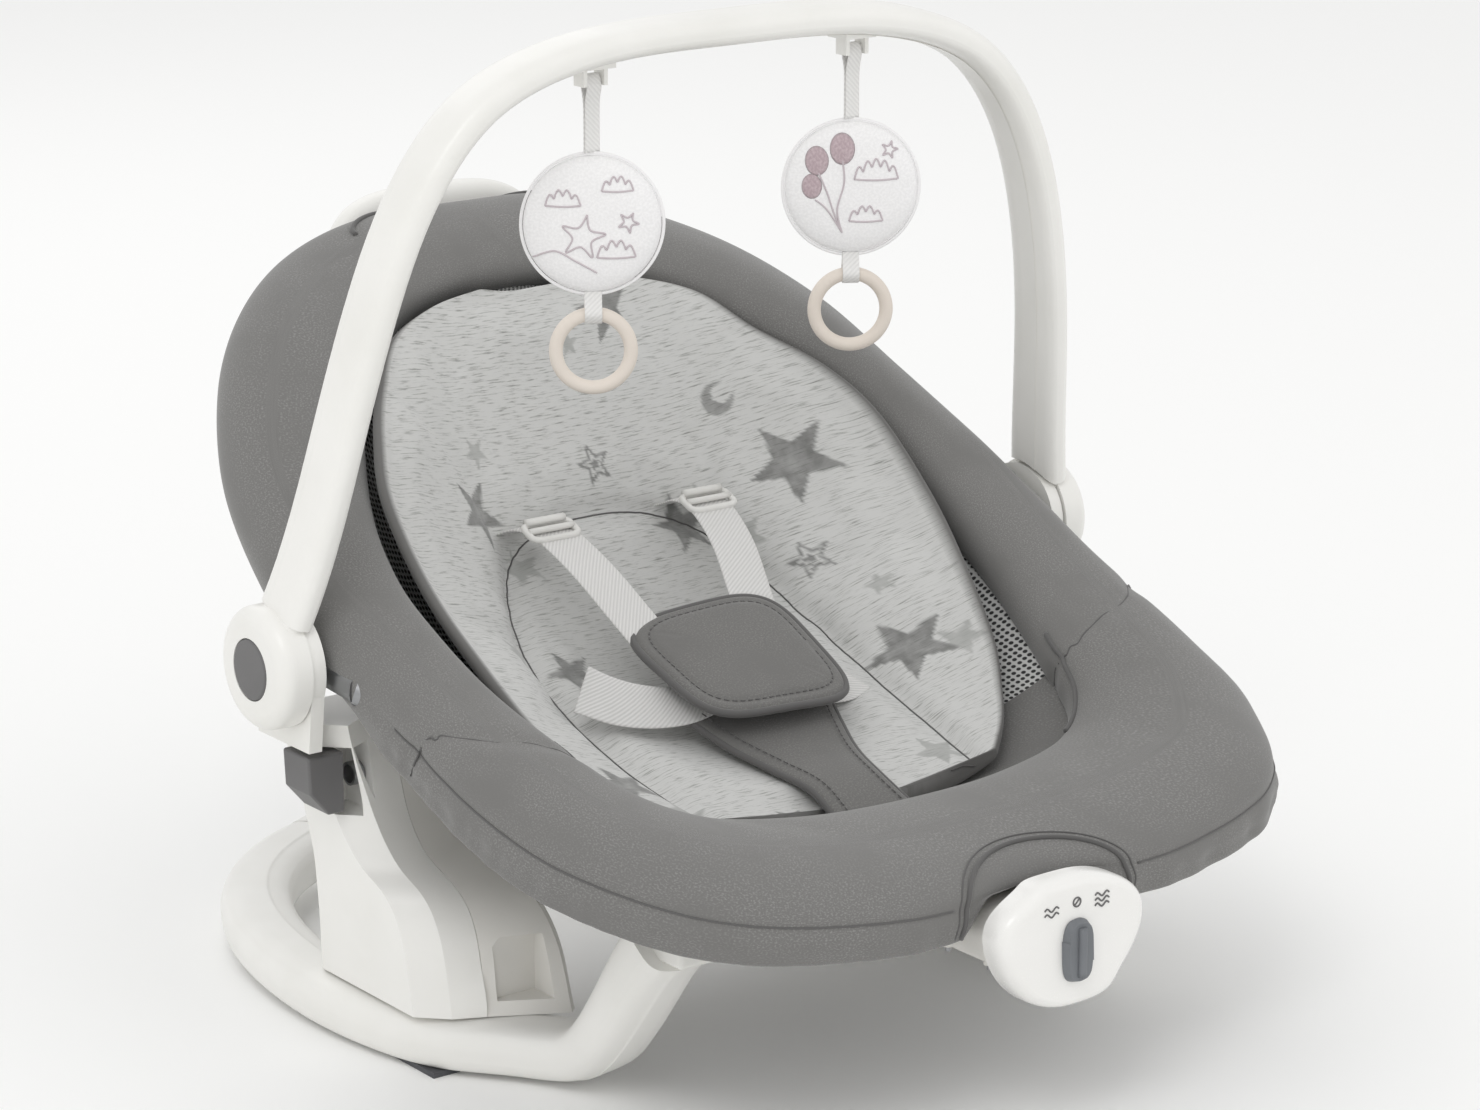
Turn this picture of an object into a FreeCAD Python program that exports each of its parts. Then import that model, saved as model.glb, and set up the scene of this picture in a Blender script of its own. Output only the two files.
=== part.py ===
"""Baby bouncer seat: rocker base, reclining padded seat, vibration unit and toy bar.

Millimetres. +Z is up, +Y points to the head end, X = 0 is the plane of symmetry.
The origin is on the floor, under the middle of the whole seat.
"""
import FreeCAD, Part
import os
from math import cos, pi, sin, sqrt

V = FreeCAD.Vector
X_AXIS = V(1, 0, 0)
Y_AXIS = V(0, 1, 0)
Z_AXIS = V(0, 0, 1)

# ---- driving dimensions -------------------------------------------------------------------
HUB_Y = 48.0              # axis of the hubs: the toy bar and the backrest both turn about it
HUB_Z = 233.0
HUB_R = 36.0              # round boss at the foot of the toy bar
HUB_FACE_X = 297.0        # outer face of that boss
PIN_R = 6.0               # pivot pin
RUN_FIT = 0.06            # radial clearance of a running fit
TIGHT_FIT = 0.02          # radial clearance round a pin that doesn't turn
PLATE_X = (267.5, 276.0)  # the fixed plate behind the toy bar's boss

RAIL_W = 44.0             # rocker rail, across
RAIL_H = 31.0             # rocker rail, height
ROCKER_R = 2600.0         # radius of the rocker's sole, seen from the side
ROCKER_Y = 20.0           # the sole's lowest point
GRIP_PROUD = 1.0          # the grip pads stand this far out of the rails
RISER_T = 39.0            # the riser at the front is thicker than the rail, fore and aft

BAR_W = 38.0              # toy bar, fore and aft
BAR_T = 19.0              # toy bar, thickness
TOY_X = 93.0              # the toys hang at this distance from the middle
TOY_EYE_Z = 555.0         # the eye that a toy hangs from
TOY_EYE_Y = 0.0
TOY_R = 40.3
RING_R = 21.5             # teether ring, centre line
RING_TUBE_R = 4.0
TOY_YAW = -32.0            # the toys hang turned a little to one side

INSERT_T = 15.0           # soft insert, thickness
SLING_T = 3.0
SLING_UNDER = 3.4         # the sling hangs this far under the insert
HINGE_GAP = 14.0          # between the rim's front and back halves at the recline axis
SEAT_GAP = 0.18           # each side of the seat's split, in stations: room for the recline
TUBE_R = 8.0              # frame tube
TUBE_WALL = 1.5
TUBE_STEPS = 41
CELL_R = 7.2              # AA cells
CELL_LENGTH = 50.0
CELL_Z = 109.0
MOTOR_AT = (25.0, -290.0, 118.0)

WEB_W = 30.0              # harness webbing
WEB_T = 1.6
BELLY_TILT = 21.0         # the belly pad and the buckle lean back, in degrees
BUCKLE_TILT = 20.0

UNIT_Y = -322.0           # front face of the vibration unit
UNIT_Z = 114.0

# Rim stations from head to foot, right-hand half: inner edge, outer edge, thickness.
RIM = [
    ((0, 217, 392), (0, 300, 420), 42),
    ((50, 214, 390), (66, 303, 416), 44),
    ((94, 202, 380), (122, 296, 400), 48),
    ((132, 170, 361), (172, 266, 376), 54),
    ((164, 132, 334), (213, 222, 340), 57),
    ((185, 92, 300), (243, 164, 296), 57),
    ((194, 50, 264), (262, 82, 257), 54),
    ((194, 10, 236), (264, 12, 232), 52),
    ((189, -30, 212), (264, -55, 206), 52),
    ((176, -80, 188), (262, -132, 180), 56),
    ((160, -124, 167), (247, -200, 162), 58),
    ((126, -150, 151), (196, -272, 146), 58),
    ((62, -157, 141), (100, -302, 136), 55),
    ((0, -157, 138), (0, -304, 134), 54),
]
HINGE_STATION = 6.55      # where the rim passes the hub axis, counted in stations

# Insert stations from head to foot: edge point, centre-line point (y, z).
INSERT = [
    ((70, 199, 385), (202, 383)),
    ((108, 180, 374), (196, 362)),
    ((132, 154, 352), (186, 334)),
    ((156, 117, 332), (168, 300)),
    ((172, 83, 306), (146, 267)),
    ((176, 40, 268), (112, 221)),
    ((172, 2, 236), (58, 180)),
    ((160, -48, 194), (-16, 156)),
    ((142, -80, 172), (-66, 147)),
    ((126, -101, 160), (-98, 143)),
    ((104, -122, 150), (-122, 141)),
]
INSERT_CURVE = 2.6        # how late the insert's sides rise: a power of the distance from the middle


# ---- helpers ------------------------------------------------------------------------------
def vec(p):
    return V(p[0], p[1], p[2])


def save(name, shape):
    os.makedirs("parts", exist_ok=True)
    shape.exportStep("parts/%s.step" % name)


def mirrored(shape):
    return shape.mirror(V(0, 0, 0), X_AXIS)


def save_pair(name, right_shape):
    save(name + "_right", right_shape)
    save(name + "_left", mirrored(right_shape))


def curve_through(points):
    curve = Part.BSplineCurve()
    curve.interpolate(Points=[vec(p) for p in points])
    return curve


def even_points(points, count):
    """count points at even distances along a smooth curve through the points given."""
    return curve_through(points).toShape().discretize(count)


def closed_wire(points, edges=4):
    """A smooth ring through the points, in a few edges that meet without a crease."""
    points = [vec(p) for p in points]
    total = len(points)
    each = total // edges
    shapes = []
    for i in range(0, total, each):
        run = [points[(i + j) % total] for j in range(each + 1)]
        first = points[(i + 1) % total] - points[i - 1]
        last = points[(i + each + 1) % total] - points[(i + each - 1) % total]
        curve = Part.BSplineCurve()
        curve.interpolate(Points=run, InitialTangent=first, FinalTangent=last)
        shapes.append(curve.toShape())
    return Part.Wire(shapes)


def polygon(points):
    return Part.makePolygon([vec(p) for p in points] + [vec(points[0])])


def oval_points(centre, across, up, half_w, half_t, power, count=16):
    """Points of a superellipse: power 2 is an ellipse, more is squarer."""
    points = []
    for i in range(count):
        a = 2 * pi * (i + 0.5) / count
        c = abs(cos(a)) ** (2 / power) * (1 if cos(a) > 0 else -1)
        s = abs(sin(a)) ** (2 / power) * (1 if sin(a) > 0 else -1)
        points.append(centre + across * (half_w * c) + up * (half_t * s))
    return points


def oval(centre, across, up, half_w, half_t, power=2.6, count=16):
    return closed_wire(oval_points(centre, across, up, half_w, half_t, power, count))


def loft(wires, ruled=False):
    return Part.makeLoft(wires, True, ruled)


def band(points, count, half_w, half_t, across_of, power=2.6):
    """A bar of oval section along a smooth curve; half_w and half_t may be functions of 0..1."""
    stations = even_points(points, count)
    wires = []
    for i, centre in enumerate(stations):
        ahead = stations[min(i + 1, count - 1)] - stations[max(i - 1, 0)]
        ahead.normalize()
        across = across_of(i / (count - 1), ahead)
        across = across - ahead * across.dot(ahead)
        across.normalize()
        up = ahead.cross(across)
        w = half_w(i / (count - 1)) if callable(half_w) else half_w
        t = half_t(i / (count - 1)) if callable(half_t) else half_t
        wires.append(oval(centre, across, up, w, t, power))
    return loft(wires)


def tube(points, count, radius):
    return band(points, count, radius, radius, lambda s, ahead: side_of(ahead), power=2.0)


def side_of(ahead):
    """A direction across a path, chosen so that it never meets the path."""
    return Z_AXIS.cross(ahead) if abs(ahead.x) >= 0.55 else X_AXIS


def rod(x0, x1, radius, y=HUB_Y, z=HUB_Z):
    """A cylinder along X."""
    return Part.makeCylinder(radius, x1 - x0, V(x0, y, z), X_AXIS)


def block(x0, x1, y0, y1, z0, z1, fillet=0.0):
    box = Part.makeBox(x1 - x0, y1 - y0, z1 - z0, V(x0, y0, z0))
    return box.makeFillet(fillet, box.Edges) if fillet else box


def plate(outline_yz, x0, x1):
    """An outline in the YZ plane, pushed out along X."""
    face = Part.Face(polygon([(x0, y, z) for y, z in outline_yz]))
    return face.extrude(V(x1 - x0, 0, 0))


def mirrored_path(half):
    """A half path that starts on the middle plane, completed with its mirror image."""
    other = [(-x, y, z) for x, y, z in half[1:]]
    return other[::-1] + list(half)


def tilted(shape, angle, point, axis=X_AXIS):
    turned = shape.copy()
    turned.rotate(point, axis, angle)
    return turned


# ---- rocker base --------------------------------------------------------------------------
def sole_z(y):
    """Height of the rocker's sole at y."""
    return GRIP_PROUD + ROCKER_R - sqrt(ROCKER_R ** 2 - (y - ROCKER_Y) ** 2)


RAIL_PLAN = [(178, -84), (194, -58), (213, -32), (227, 14), (232, 62), (230, 115), (217, 178),
             (190, 228), (158, 256), (122, 273)]
RISER = [(171, -180, 112), (171, -155, 80), (171, -130, 46), (172, -107, 25)]
RISER_PART = 0.2          # the riser's share of the path


def rail_path():
    floor_run = [(x, y, sole_z(y) + RAIL_H / 2) for x, y in RAIL_PLAN]
    return RISER + floor_run


def rail_across(s, ahead):
    """The rail lies flat; its riser keeps its width across the seat."""
    return X_AXIS if s < RISER_PART else ahead.cross(Z_AXIS)


def rail_half_t(s):
    """Half the rail's thickness: it eases from the riser's to the rocker's."""
    return RAIL_H / 2 + (RISER_T - RAIL_H) / 2 * max(0.0, 1 - s / RISER_PART)


def build_base():
    rail = band(rail_path(), 34, RAIL_W / 2, rail_half_t, rail_across, power=3.2)
    screws = Part.makeCompound([Part.makeCylinder(3, 14, V(222, y, 19)) for y in (-30, 62)])
    save("base_screws", Part.makeCompound([screws, mirrored(screws)]))
    rail = rail.cut(screws)
    save_pair("rail", rail)

    rear_half = [(0, 300), (45, 297), (84, 288), (120.5, 274)]
    rear = [(x, y, sole_z(y) + RAIL_H / 2) for x, y in rear_half]
    save("rear_rail", band(mirrored_path(rear), 15, RAIL_W / 2, RAIL_H / 2,
                           lambda s, ahead: ahead.cross(Z_AXIS), power=3.2))

    grip = block(218, 236, ROCKER_Y - 60, ROCKER_Y + 60, 0, 3.2)
    grip = grip.cut(rail)
    save("grip_pads", Part.makeCompound([grip, mirrored(grip)]))
    return rail


# Column sections at height z: outer face x, back y, front y of the outer face,
# front y of the inner face, inner face x.
COLUMN = [
    (34, 240, 78, -42, -74, 158),
    (62, 241, 78, -38, -64, 158),
    (88, 243, 77, -32, -48, 160),
    (101, 244, 77, -22, -28, 162),
    (112, 246, 76, -3, 16, 166),
    (128, 249, 76, 12, 40, 171),
    (150, 254, 76, 19, 50, 176),
    (176, 261, 76, 21, 53, 184),
    (198, 266, 76, 21, 55, 196),
]
PARTING_X = 206.0         # the column's two shells meet here
CHAMFER = 16.0            # the front corner of the outer shell


def column_section(z, x_out, y_back, y_front, y_inner, x_in, outer):
    """One horizontal slice of the outer or the inner shell."""
    slope = (y_inner - y_front) / (x_out - CHAMFER - x_in)
    y_part = y_front + slope * (x_out - CHAMFER - PARTING_X)
    if outer:
        points = [(PARTING_X, y_part), (x_out - CHAMFER, y_front), (x_out, y_front + CHAMFER),
                  (x_out, y_back - 6), (x_out - 6, y_back), (PARTING_X, y_back)]
    else:
        x_seam = PARTING_X - 0.4
        points = [(x_in, y_inner + 5), (x_in + 5, y_inner), (x_seam, y_part),
                  (x_seam, y_back), (x_in + 5, y_back), (x_in, y_back - 5)]
    return polygon([(x, y, z) for x, y in points])


def build_columns():
    outer = loft([column_section(*row, outer=True) for row in COLUMN])
    inner = loft([column_section(*row, outer=False) for row in COLUMN])
    outer = outer.cut(block(232, 300, 22, 54, 142, 184))
    window = block(170, 199, -90, -46, 42, 78)
    inner = inner.cut(window)
    save_pair("column_outer", outer)
    save_pair("column_inner", inner)

    beam = block(-157, 157, 45, 74, 78, 150, fillet=3)
    for i in range(4):
        z = 92 + 15 * i
        beam = beam.cut(Part.makeBox(330, 2.2, 1.8, V(-165, 44, z)))
    save("cross_beam", beam)

    disc = rod(*PLATE_X, HUB_R - 2)
    web = plate([(HUB_Y - 27, 186), (HUB_Y + 28, 186), (HUB_Y + 33, HUB_Z), (HUB_Y - 33, HUB_Z)], *PLATE_X)
    hub = disc.fuse(web).removeSplitter().cut(rod(260, 280, PIN_R + TIGHT_FIT))
    save_pair("hub_plate", hub)

    pin = rod(240, 284, PIN_R).fuse(rod(264.6, 267.3, 10)).removeSplitter().cut(rod(270, 285, 3.06))
    save("pivot_pins", Part.makeCompound([pin, mirrored(pin)]))


def build_latch_buttons():
    """Wedge-shaped buttons that free the seat from its stand; they push straight in."""
    outline = [(252, 146), (262, 146), (274, 160), (275, 182), (252, 182)]
    face = Part.Face(polygon([(x, 24, z) for x, z in outline]))
    wedge = face.extrude(V(0, 28, 0))
    wedge = wedge.makeFillet(1.6, [e for e in wedge.Edges if e.BoundBox.XMax > 258])
    save_pair("latch_button", wedge)
    spring = rod(233, 240, 7, y=38, z=163).cut(rod(232, 241, 5.4, y=38, z=163))
    save("latch_springs", Part.makeCompound([spring, mirrored(spring)]))


# ---- seat frame and brackets --------------------------------------------------------------
def rim_at(t):
    """Inner edge, outer edge and thickness of the rim at a station number, right-hand half."""
    inner = RIM_INNER.value(t)
    outer = RIM_OUTER.value(t)
    low = min(int(t), len(RIM) - 2)
    thick = RIM[low][2] + (RIM[low + 1][2] - RIM[low][2]) * (t - low)
    return inner, outer, thick


def rim_curve(column):
    """A curve through the stations whose parameter is the station number, level at both ends."""
    mirror = [(-RIM[1][column][0],) + RIM[1][column][1:]]
    tail = [(-RIM[-2][column][0],) + RIM[-2][column][1:]]
    points = [vec(p) for p in mirror + [row[column] for row in RIM] + tail]
    curve = Part.BSplineCurve()
    curve.interpolate(Points=points, Parameters=[float(i - 1) for i in range(len(points))])
    return curve


RIM_INNER = rim_curve(0)
RIM_OUTER = rim_curve(1)


def rim_section(t, sign):
    """The rim's section at a station; sign is +1 on the right and -1 on the left."""
    inner, outer, thick = rim_at(t)
    centre = (inner + outer) * 0.5
    before = rim_at(t - 0.05)
    after = rim_at(t + 0.05)
    ahead = (after[0] + after[1] - before[0] - before[1])
    across = outer - inner
    half_w = across.Length / 2
    across.normalize()
    up = across.cross(ahead)
    up.normalize()
    if up.z < 0:
        up = up * -1
    if sign < 0:
        centre, across, up = (V(-v.x, v.y, v.z) for v in (centre, across, up))
    points = oval_points(centre, across, up, half_w, thick / 2, 2.5)
    return closed_wire(points)


def rim_pad(t_ends, count):
    """A rim half: right-hand hinge to left-hand hinge, by way of the head or the foot."""
    hinge, middle = t_ends
    steps = [hinge + (middle - hinge) * i / count for i in range(count + 1)]
    wires = [rim_section(t, 1) for t in steps]
    wires += [rim_section(t, -1) for t in steps[-2::-1]]
    return loft(wires)


def frame_path(stations, end_x):
    """Tube route inside the rim, from the hub eye to the middle plane."""
    points = []
    for t in stations:
        inner, outer = rim_at(t)[:2]
        centre = (inner + outer) * 0.5
        points.append((centre.x, centre.y, centre.z))
    points[0] = (end_x, points[0][1], points[0][2])
    return points


def build_frame():
    hub_clear = rod(236, 300, 25)
    for name, x0, stations, side in (
        ("back", 246.0, [5.9, 5.0, 4, 3, 2, 1, 0], 1),
        ("front", 256.0, [7.3, 8.2, 9, 10, 11, 12, 13], -1),
    ):
        path = frame_path(stations, x0 + 4)
        route = mirrored_path(path[::-1])
        bar = tube(route, TUBE_STEPS, TUBE_R)
        eye = rod(x0, x0 + 8, 16)
        arm = band([(x0 + 4, HUB_Y + side * 6, HUB_Z + side * 3), path[0]], 3, 7, 3.9,
                   lambda s, ahead: Z_AXIS, power=3)
        bore = rod(x0 - 2, x0 + 10, PIN_R + (RUN_FIT if side > 0 else TIGHT_FIT))
        ends = eye.fuse(arm).cut(bore)
        shape = bar.fuse([ends, mirrored(ends)]).cut(tube(route, TUBE_STEPS, TUBE_R - TUBE_WALL))
        save(name + "_frame_tube", shape)
    return hub_clear


def build_rim(hub_clear, unit_clear):
    gap = HINGE_GAP / 2 / 40.0
    both = [hub_clear, mirrored(hub_clear)]
    back = rim_pad((HINGE_STATION - gap, 0.0), 15).cut(Part.makeCompound(both))
    front = rim_pad((HINGE_STATION + gap, 13.0), 15).cut(Part.makeCompound(both + [unit_clear]))
    save("rim_pad_back", back)
    save("rim_pad_front", front)
    return back, front


# ---- insert and sling ---------------------------------------------------------------------
def station_curve(rows, pick):
    curve = Part.BSplineCurve()
    curve.interpolate(Points=[vec(pick(r)) for r in rows], Parameters=[float(i) for i in range(len(rows))])
    return curve


def seat_curves(rows):
    return station_curve(rows, lambda r: r[0]), station_curve(rows, lambda r: (0, r[1][0], r[1][1]))


def seat_section(curves, t, thick, thin_edge):
    """Closed slice across a dished pad, at a station number; its sides thin towards their edges."""
    edge = curves[0].value(t)
    mid = curves[1].value(t)
    lift = V(0, edge.y - mid.y, edge.z - mid.z)
    upward = V(lift)
    upward.normalize()
    top = []
    under = []
    for i in range(-6, 7):
        u = i / 6
        slope = INSERT_CURVE * abs(u) ** (INSERT_CURVE - 1) * lift.Length / edge.x
        out = V(-slope if u > 0 else slope, 0, 0) + upward
        out.normalize()
        here = mid + lift * abs(u) ** INSERT_CURVE + V(edge.x * u, 0, 0)
        top.append(here)
        under.append(here - out * thick * (1 - thin_edge * abs(u) ** 3))
    upper = curve_through(top).toShape()
    lower = curve_through(under[::-1]).toShape()
    return Part.Wire([upper, Part.makeLine(top[-1], under[-1]), lower, Part.makeLine(under[0], top[0])])


def dish(curves, t0, t1, count, thick, thin_edge):
    steps = [t0 + (t1 - t0) * i / (count - 1) for i in range(count)]
    return loft([seat_section(curves, t, thick, thin_edge) for t in steps])


def sling_rows():
    """The sling hangs from the rim's inner edge and lies just under the insert."""
    rows = []
    for edge, mid in INSERT:
        down = INSERT_T + SLING_UNDER
        rows.append(((edge[0] + 9, edge[1] + 3, edge[2] - 8), (mid[0] + 0.6 * down, mid[1] - 0.9 * down)))
    rows.append(((130, -136, 143), (-140, 122)))
    rows.append(((104, -148, 137), (-150, 121)))
    return rows


SEAT_SPLIT = 6.15         # insert station under the hub axis
SLOT_X = 63               # the shoulder straps leave the insert through two slots
SLOT_HALF = 19
SLOT_Y = (100, 178)
SLOT_Z = (246, 258)


def build_insert(rim):
    gap = SEAT_GAP
    slots = Part.makeCompound([block(sx - SLOT_HALF, sx + SLOT_HALF, *SLOT_Y, *SLOT_Z)
                               for sx in (-SLOT_X, SLOT_X)])
    insert = seat_curves(INSERT)
    save("insert_back", dish(insert, 0.0, SEAT_SPLIT - gap, 14, INSERT_T, 0.5).cut(slots))
    save("insert_seat", dish(insert, SEAT_SPLIT + gap, 10.0, 10, INSERT_T, 0.5))
    sling = seat_curves(sling_rows())
    save("sling_back", dish(sling, 0.2, SEAT_SPLIT - gap, 13, SLING_T, 0.0).cut(slots).cut(rim))
    save("sling_seat", dish(sling, SEAT_SPLIT + gap, 12.0, 12, SLING_T, 0.0))


# ---- harness ------------------------------------------------------------------------------
def strap(points, width, thick, count=9, across=X_AXIS):
    return band(points, count, width / 2, thick / 2, lambda s, ahead: across, power=6.0)


def build_harness():
    shoulder = [(61, 152, 254), (60, 128, 256.5), (58, 106, 261), (55, 80, 254), (50, 52, 240)]
    save_pair("shoulder_strap", strap(shoulder, WEB_W, WEB_T))
    adjuster = block(41, 77, -8, 8, 0, 3.6, fillet=1.2)
    adjuster = tilted(adjuster, 22, V(59, 0, 0)).translated(V(0, 96, 262.6))
    save_pair("adjuster", adjuster)

    pad = block(-56, 56, -53, 53, -6, 6)
    pad = pad.makeFillet(16, [e for e in pad.Edges if abs(e.BoundBox.ZLength - 12) < 0.1])
    pad = pad.makeFillet(4, [e for e in pad.Edges if e.BoundBox.ZLength < 0.1])
    belly = tilted(pad, BELLY_TILT, V(0, 0, 0)).translated(V(0, -16, 203))
    save("belly_pad", belly)

    body = block(-32, 32, -17, 17, -7, 7, fillet=4)
    button_hole = block(-9, 9, -30, -5.6, -4, 9)
    body = body.cut(button_hole)
    slot = block(-40, 40, -3, 3, -4, 0)
    body = body.cut(slot)
    place = V(0, -22, 182)
    save("buckle_body", tilted(body, BUCKLE_TILT, V(0, 0, 0)).translated(place))
    button = block(-8.4, 8.4, -20, -9.6, -3.4, 5.4, fillet=1.0)
    save("buckle_button", tilted(button, BUCKLE_TILT, V(0, 0, 0)).translated(place))
    tongue = block(12, 44, -2.6, 2.6, -3.6, -0.4)
    pair = [tongue, mirrored(tongue)]
    save("buckle_tongues", tilted(Part.makeCompound(pair), BUCKLE_TILT, V(0, 0, 0)).translated(place))

    waist = [(46, -25, 179), (66, -20, 183), (86, -12, 189), (104, -3, 196)]
    save_pair("waist_strap", strap(waist, WEB_W, WEB_T, across=V(0, 1, 0.35)))

    crotch = [(0, -40, 172), (0, -64, 163), (0, -90, 155), (0, -118, 150), (0, -142, 147)]
    shape = band(crotch, 9, lambda s: 50 - 22 * sin(pi * min(1.0, s * 1.25) / 2), 5,
                 lambda s, ahead: X_AXIS, power=3.0)
    save("crotch_pad", shape)


# ---- head handle --------------------------------------------------------------------------
def build_handle(rim):
    grip = band(mirrored_path([(0, 315, 417), (28, 315, 416), (50, 313, 411), (60, 310, 402)]), 13, 11, 20,
                lambda s, ahead: Y_AXIS, power=3.0)
    recess = block(-32, 32, 305, 327, 388, 410)
    save("head_handle", grip.cut(recess).cut(rim))
    trigger = block(-31, 31, 308, 323, 394, 404, fillet=2.5)
    save("recline_trigger", trigger)


# ---- vibration unit -----------------------------------------------------------------------
UNIT_OUTLINE = [(0, 37), (30, 32), (50, 17), (50, -2), (35, -25), (0, -38), (-35, -25), (-50, -2), (-50, 17),
                (-30, 32)]

# Sections of the unit's rear shell: y, middle height, half width, half height.
TUB = [(-303.6, 112, 40, 26), (-296, 116, 40, 19.5), (-241, 116, 40, 19.5)]
TUB_INSIDE = [(-306, 112, 40, 26), TUB[1], (-244, 116, 40, 19.5)]
TUB_WALL = 3.0
TUB_DOOR_Z = 97.0
SCREWS_AT = [(x, y) for x in (-33, 33) for y in (-288, -252)]


def unit_wire(y, scale):
    return closed_wire([(x * scale, y, UNIT_Z + z * scale) for x, z in UNIT_OUTLINE], edges=2)


def build_unit():
    front = loft([unit_wire(UNIT_Y + 18, 1.0), unit_wire(UNIT_Y + 9, 1.0), unit_wire(UNIT_Y + 3, 0.96),
                  unit_wire(UNIT_Y + 0.6, 0.86)])
    front = front.cut(loft([unit_wire(UNIT_Y + 19, 0.92), unit_wire(UNIT_Y + 4, 0.9)]))
    shaft_hole = Part.makeCylinder(3.06, 30, V(0, UNIT_Y - 5, UNIT_Z - 4), Y_AXIS)
    save("unit_front_cover", front.cut(shaft_hole))

    tub = loft([oval(V(0, y, z), X_AXIS, Z_AXIS, w, h, 4.0) for y, z, w, h in TUB], ruled=True)
    hollow = loft([oval(V(0, y, z), X_AXIS, Z_AXIS, w - TUB_WALL, h - TUB_WALL, 4.0)
                   for y, z, w, h in TUB_INSIDE], ruled=True)
    door_cut = block(-30, 30, -294.5, -245, 60, TUB_DOOR_Z + 5)
    save("battery_door", block(-29.6, 29.6, -294.1, -245.4, TUB_DOOR_Z, TUB_DOOR_Z + 3))

    cells = [Part.makeCylinder(CELL_R, CELL_LENGTH, V(x, -294.6, CELL_Z), Y_AXIS) for x in (-22, -7, 8)]
    save("battery_cells", Part.makeCompound(cells))
    save("circuit_board", block(-28, 28, -298.6, -297.0, 101, 126))
    x, y, z = MOTOR_AT
    motor = Part.makeCylinder(6, 20, V(x, y, z), Y_AXIS)
    shaft = Part.makeCylinder(1.0, 12, V(x, y + 20, z), Y_AXIS)
    save("vibration_motor", motor.fuse(shaft).removeSplitter())
    half = block(x - 9, x + 9, y + 22, y + 32, z, z + 9)
    weight = Part.makeCylinder(7, 6, V(x, y + 24, z), Y_AXIS).common(half)
    weight = weight.fuse(Part.makeCylinder(2.6, 6, V(x, y + 24, z), Y_AXIS)).removeSplitter()
    save("eccentric_weight", weight.cut(Part.makeCylinder(1.0 + RUN_FIT, 9, V(x, y + 23, z), Y_AXIS)))
    screws = [Part.makeCylinder(1.5, 8, V(sx, sy, 96)) for sx, sy in SCREWS_AT]
    bosses = [Part.makeCylinder(3.5, 5, V(sx, sy, 99)) for sx, sy in SCREWS_AT]
    shell = tub.cut(hollow).cut(door_cut).fuse(bosses).cut(Part.makeCompound(screws))
    save("unit_rear_shell", shell.removeSplitter())
    save("unit_screws", Part.makeCompound(screws))

    knob = loft([oval(V(0, UNIT_Y + 0.2, UNIT_Z - 4), X_AXIS, Z_AXIS, 10, 18, 3.2),
                 oval(V(0, UNIT_Y - 4.5, UNIT_Z - 4), X_AXIS, Z_AXIS, 8.4, 16.4, 3.2)])
    stem = Part.makeCylinder(3.0, 16, V(0, UNIT_Y - 1, UNIT_Z - 4), Y_AXIS)
    save("mode_knob", knob.fuse(stem).removeSplitter())
    around = loft([unit_wire(UNIT_Y - 12, 1.04), unit_wire(UNIT_Y + 19, 1.04)])
    return Part.makeCompound([around, tub])


# ---- toy bar ------------------------------------------------------------------------------
ARCH = [(0, -3, 576), (70, -3, 575), (128, -4, 567), (176, -5, 547), (211, -3, 508), (237, 3, 447),
        (255, 15, 370), (267, 29, 305), (277, 40, 264)]
BAR_UNDER_Z = 565.0       # underside of the bar where the toys hang


def build_toy_bar():
    bar = band(mirrored_path(ARCH), 49, lambda s: BAR_W / 2 + 2.0 * abs(2 * s - 1) ** 4, BAR_T / 2,
               lambda s, ahead: Y_AXIS, power=3.0)
    boss = rod(277, HUB_FACE_X, HUB_R)
    boss = boss.makeFillet(9, [e for e in boss.Edges if e.BoundBox.XMin > HUB_FACE_X - 1])
    arm = band([ARCH[-1], (284, 44, 250), (286, 46, 238)], 4, lambda s: 19 + 4 * s, lambda s: 8.5 + 0.4 * s,
               lambda s, ahead: Y_AXIS, power=3.0)
    end = boss.fuse(arm)
    hollow = rod(270, 300, PIN_R + RUN_FIT).fuse(rod(285.5, 300, 18.2))
    arch = bar.fuse([end, mirrored(end)])
    arch = arch.cut(hollow).cut(mirrored(hollow))
    around_plate = rod(255, 276.6, HUB_R + 1)
    arch = arch.cut(around_plate).cut(mirrored(around_plate))
    save("toy_arch", arch)

    cap = rod(291, HUB_FACE_X + 0.6, 17.9)
    cap = cap.makeFillet(2.0, [e for e in cap.Edges if e.BoundBox.XMin > HUB_FACE_X])
    cap = cap.fuse(rod(274, 292, 3.0)).removeSplitter()
    save_pair("hub_button", cap)
    ring = rod(285.7, 287.4, 14).cut(rod(285, 288, 10))
    save("button_springs", Part.makeCompound([ring, mirrored(ring)]))

    ears = []
    for x in (TOY_X - 8, TOY_X + 6):
        ears.append(block(x, x + 2.5, TOY_EYE_Y - 5, TOY_EYE_Y + 5, TOY_EYE_Z - 4, TOY_EYE_Z + 6))
    pin = rod(TOY_X - 8, TOY_X + 8.5, 1.5, y=TOY_EYE_Y, z=TOY_EYE_Z)
    clip = block(TOY_X - 11, TOY_X + 11, TOY_EYE_Y - 9, TOY_EYE_Y + 9, TOY_EYE_Z + 6, BAR_UNDER_Z)
    clip = clip.fuse(ears + [pin]).removeSplitter()
    save("toy_clips", Part.makeCompound([clip, mirrored(clip)]))


def save_toy(name, shape, axle):
    """Both toys are turned the same way, so the left one is a copy and not a mirror image."""
    turned = tilted(shape, TOY_YAW, axle, Z_AXIS)
    save(name + "_right", turned)
    save(name + "_left", turned.translated(V(-2 * TOY_X, 0, 0)))


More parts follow.
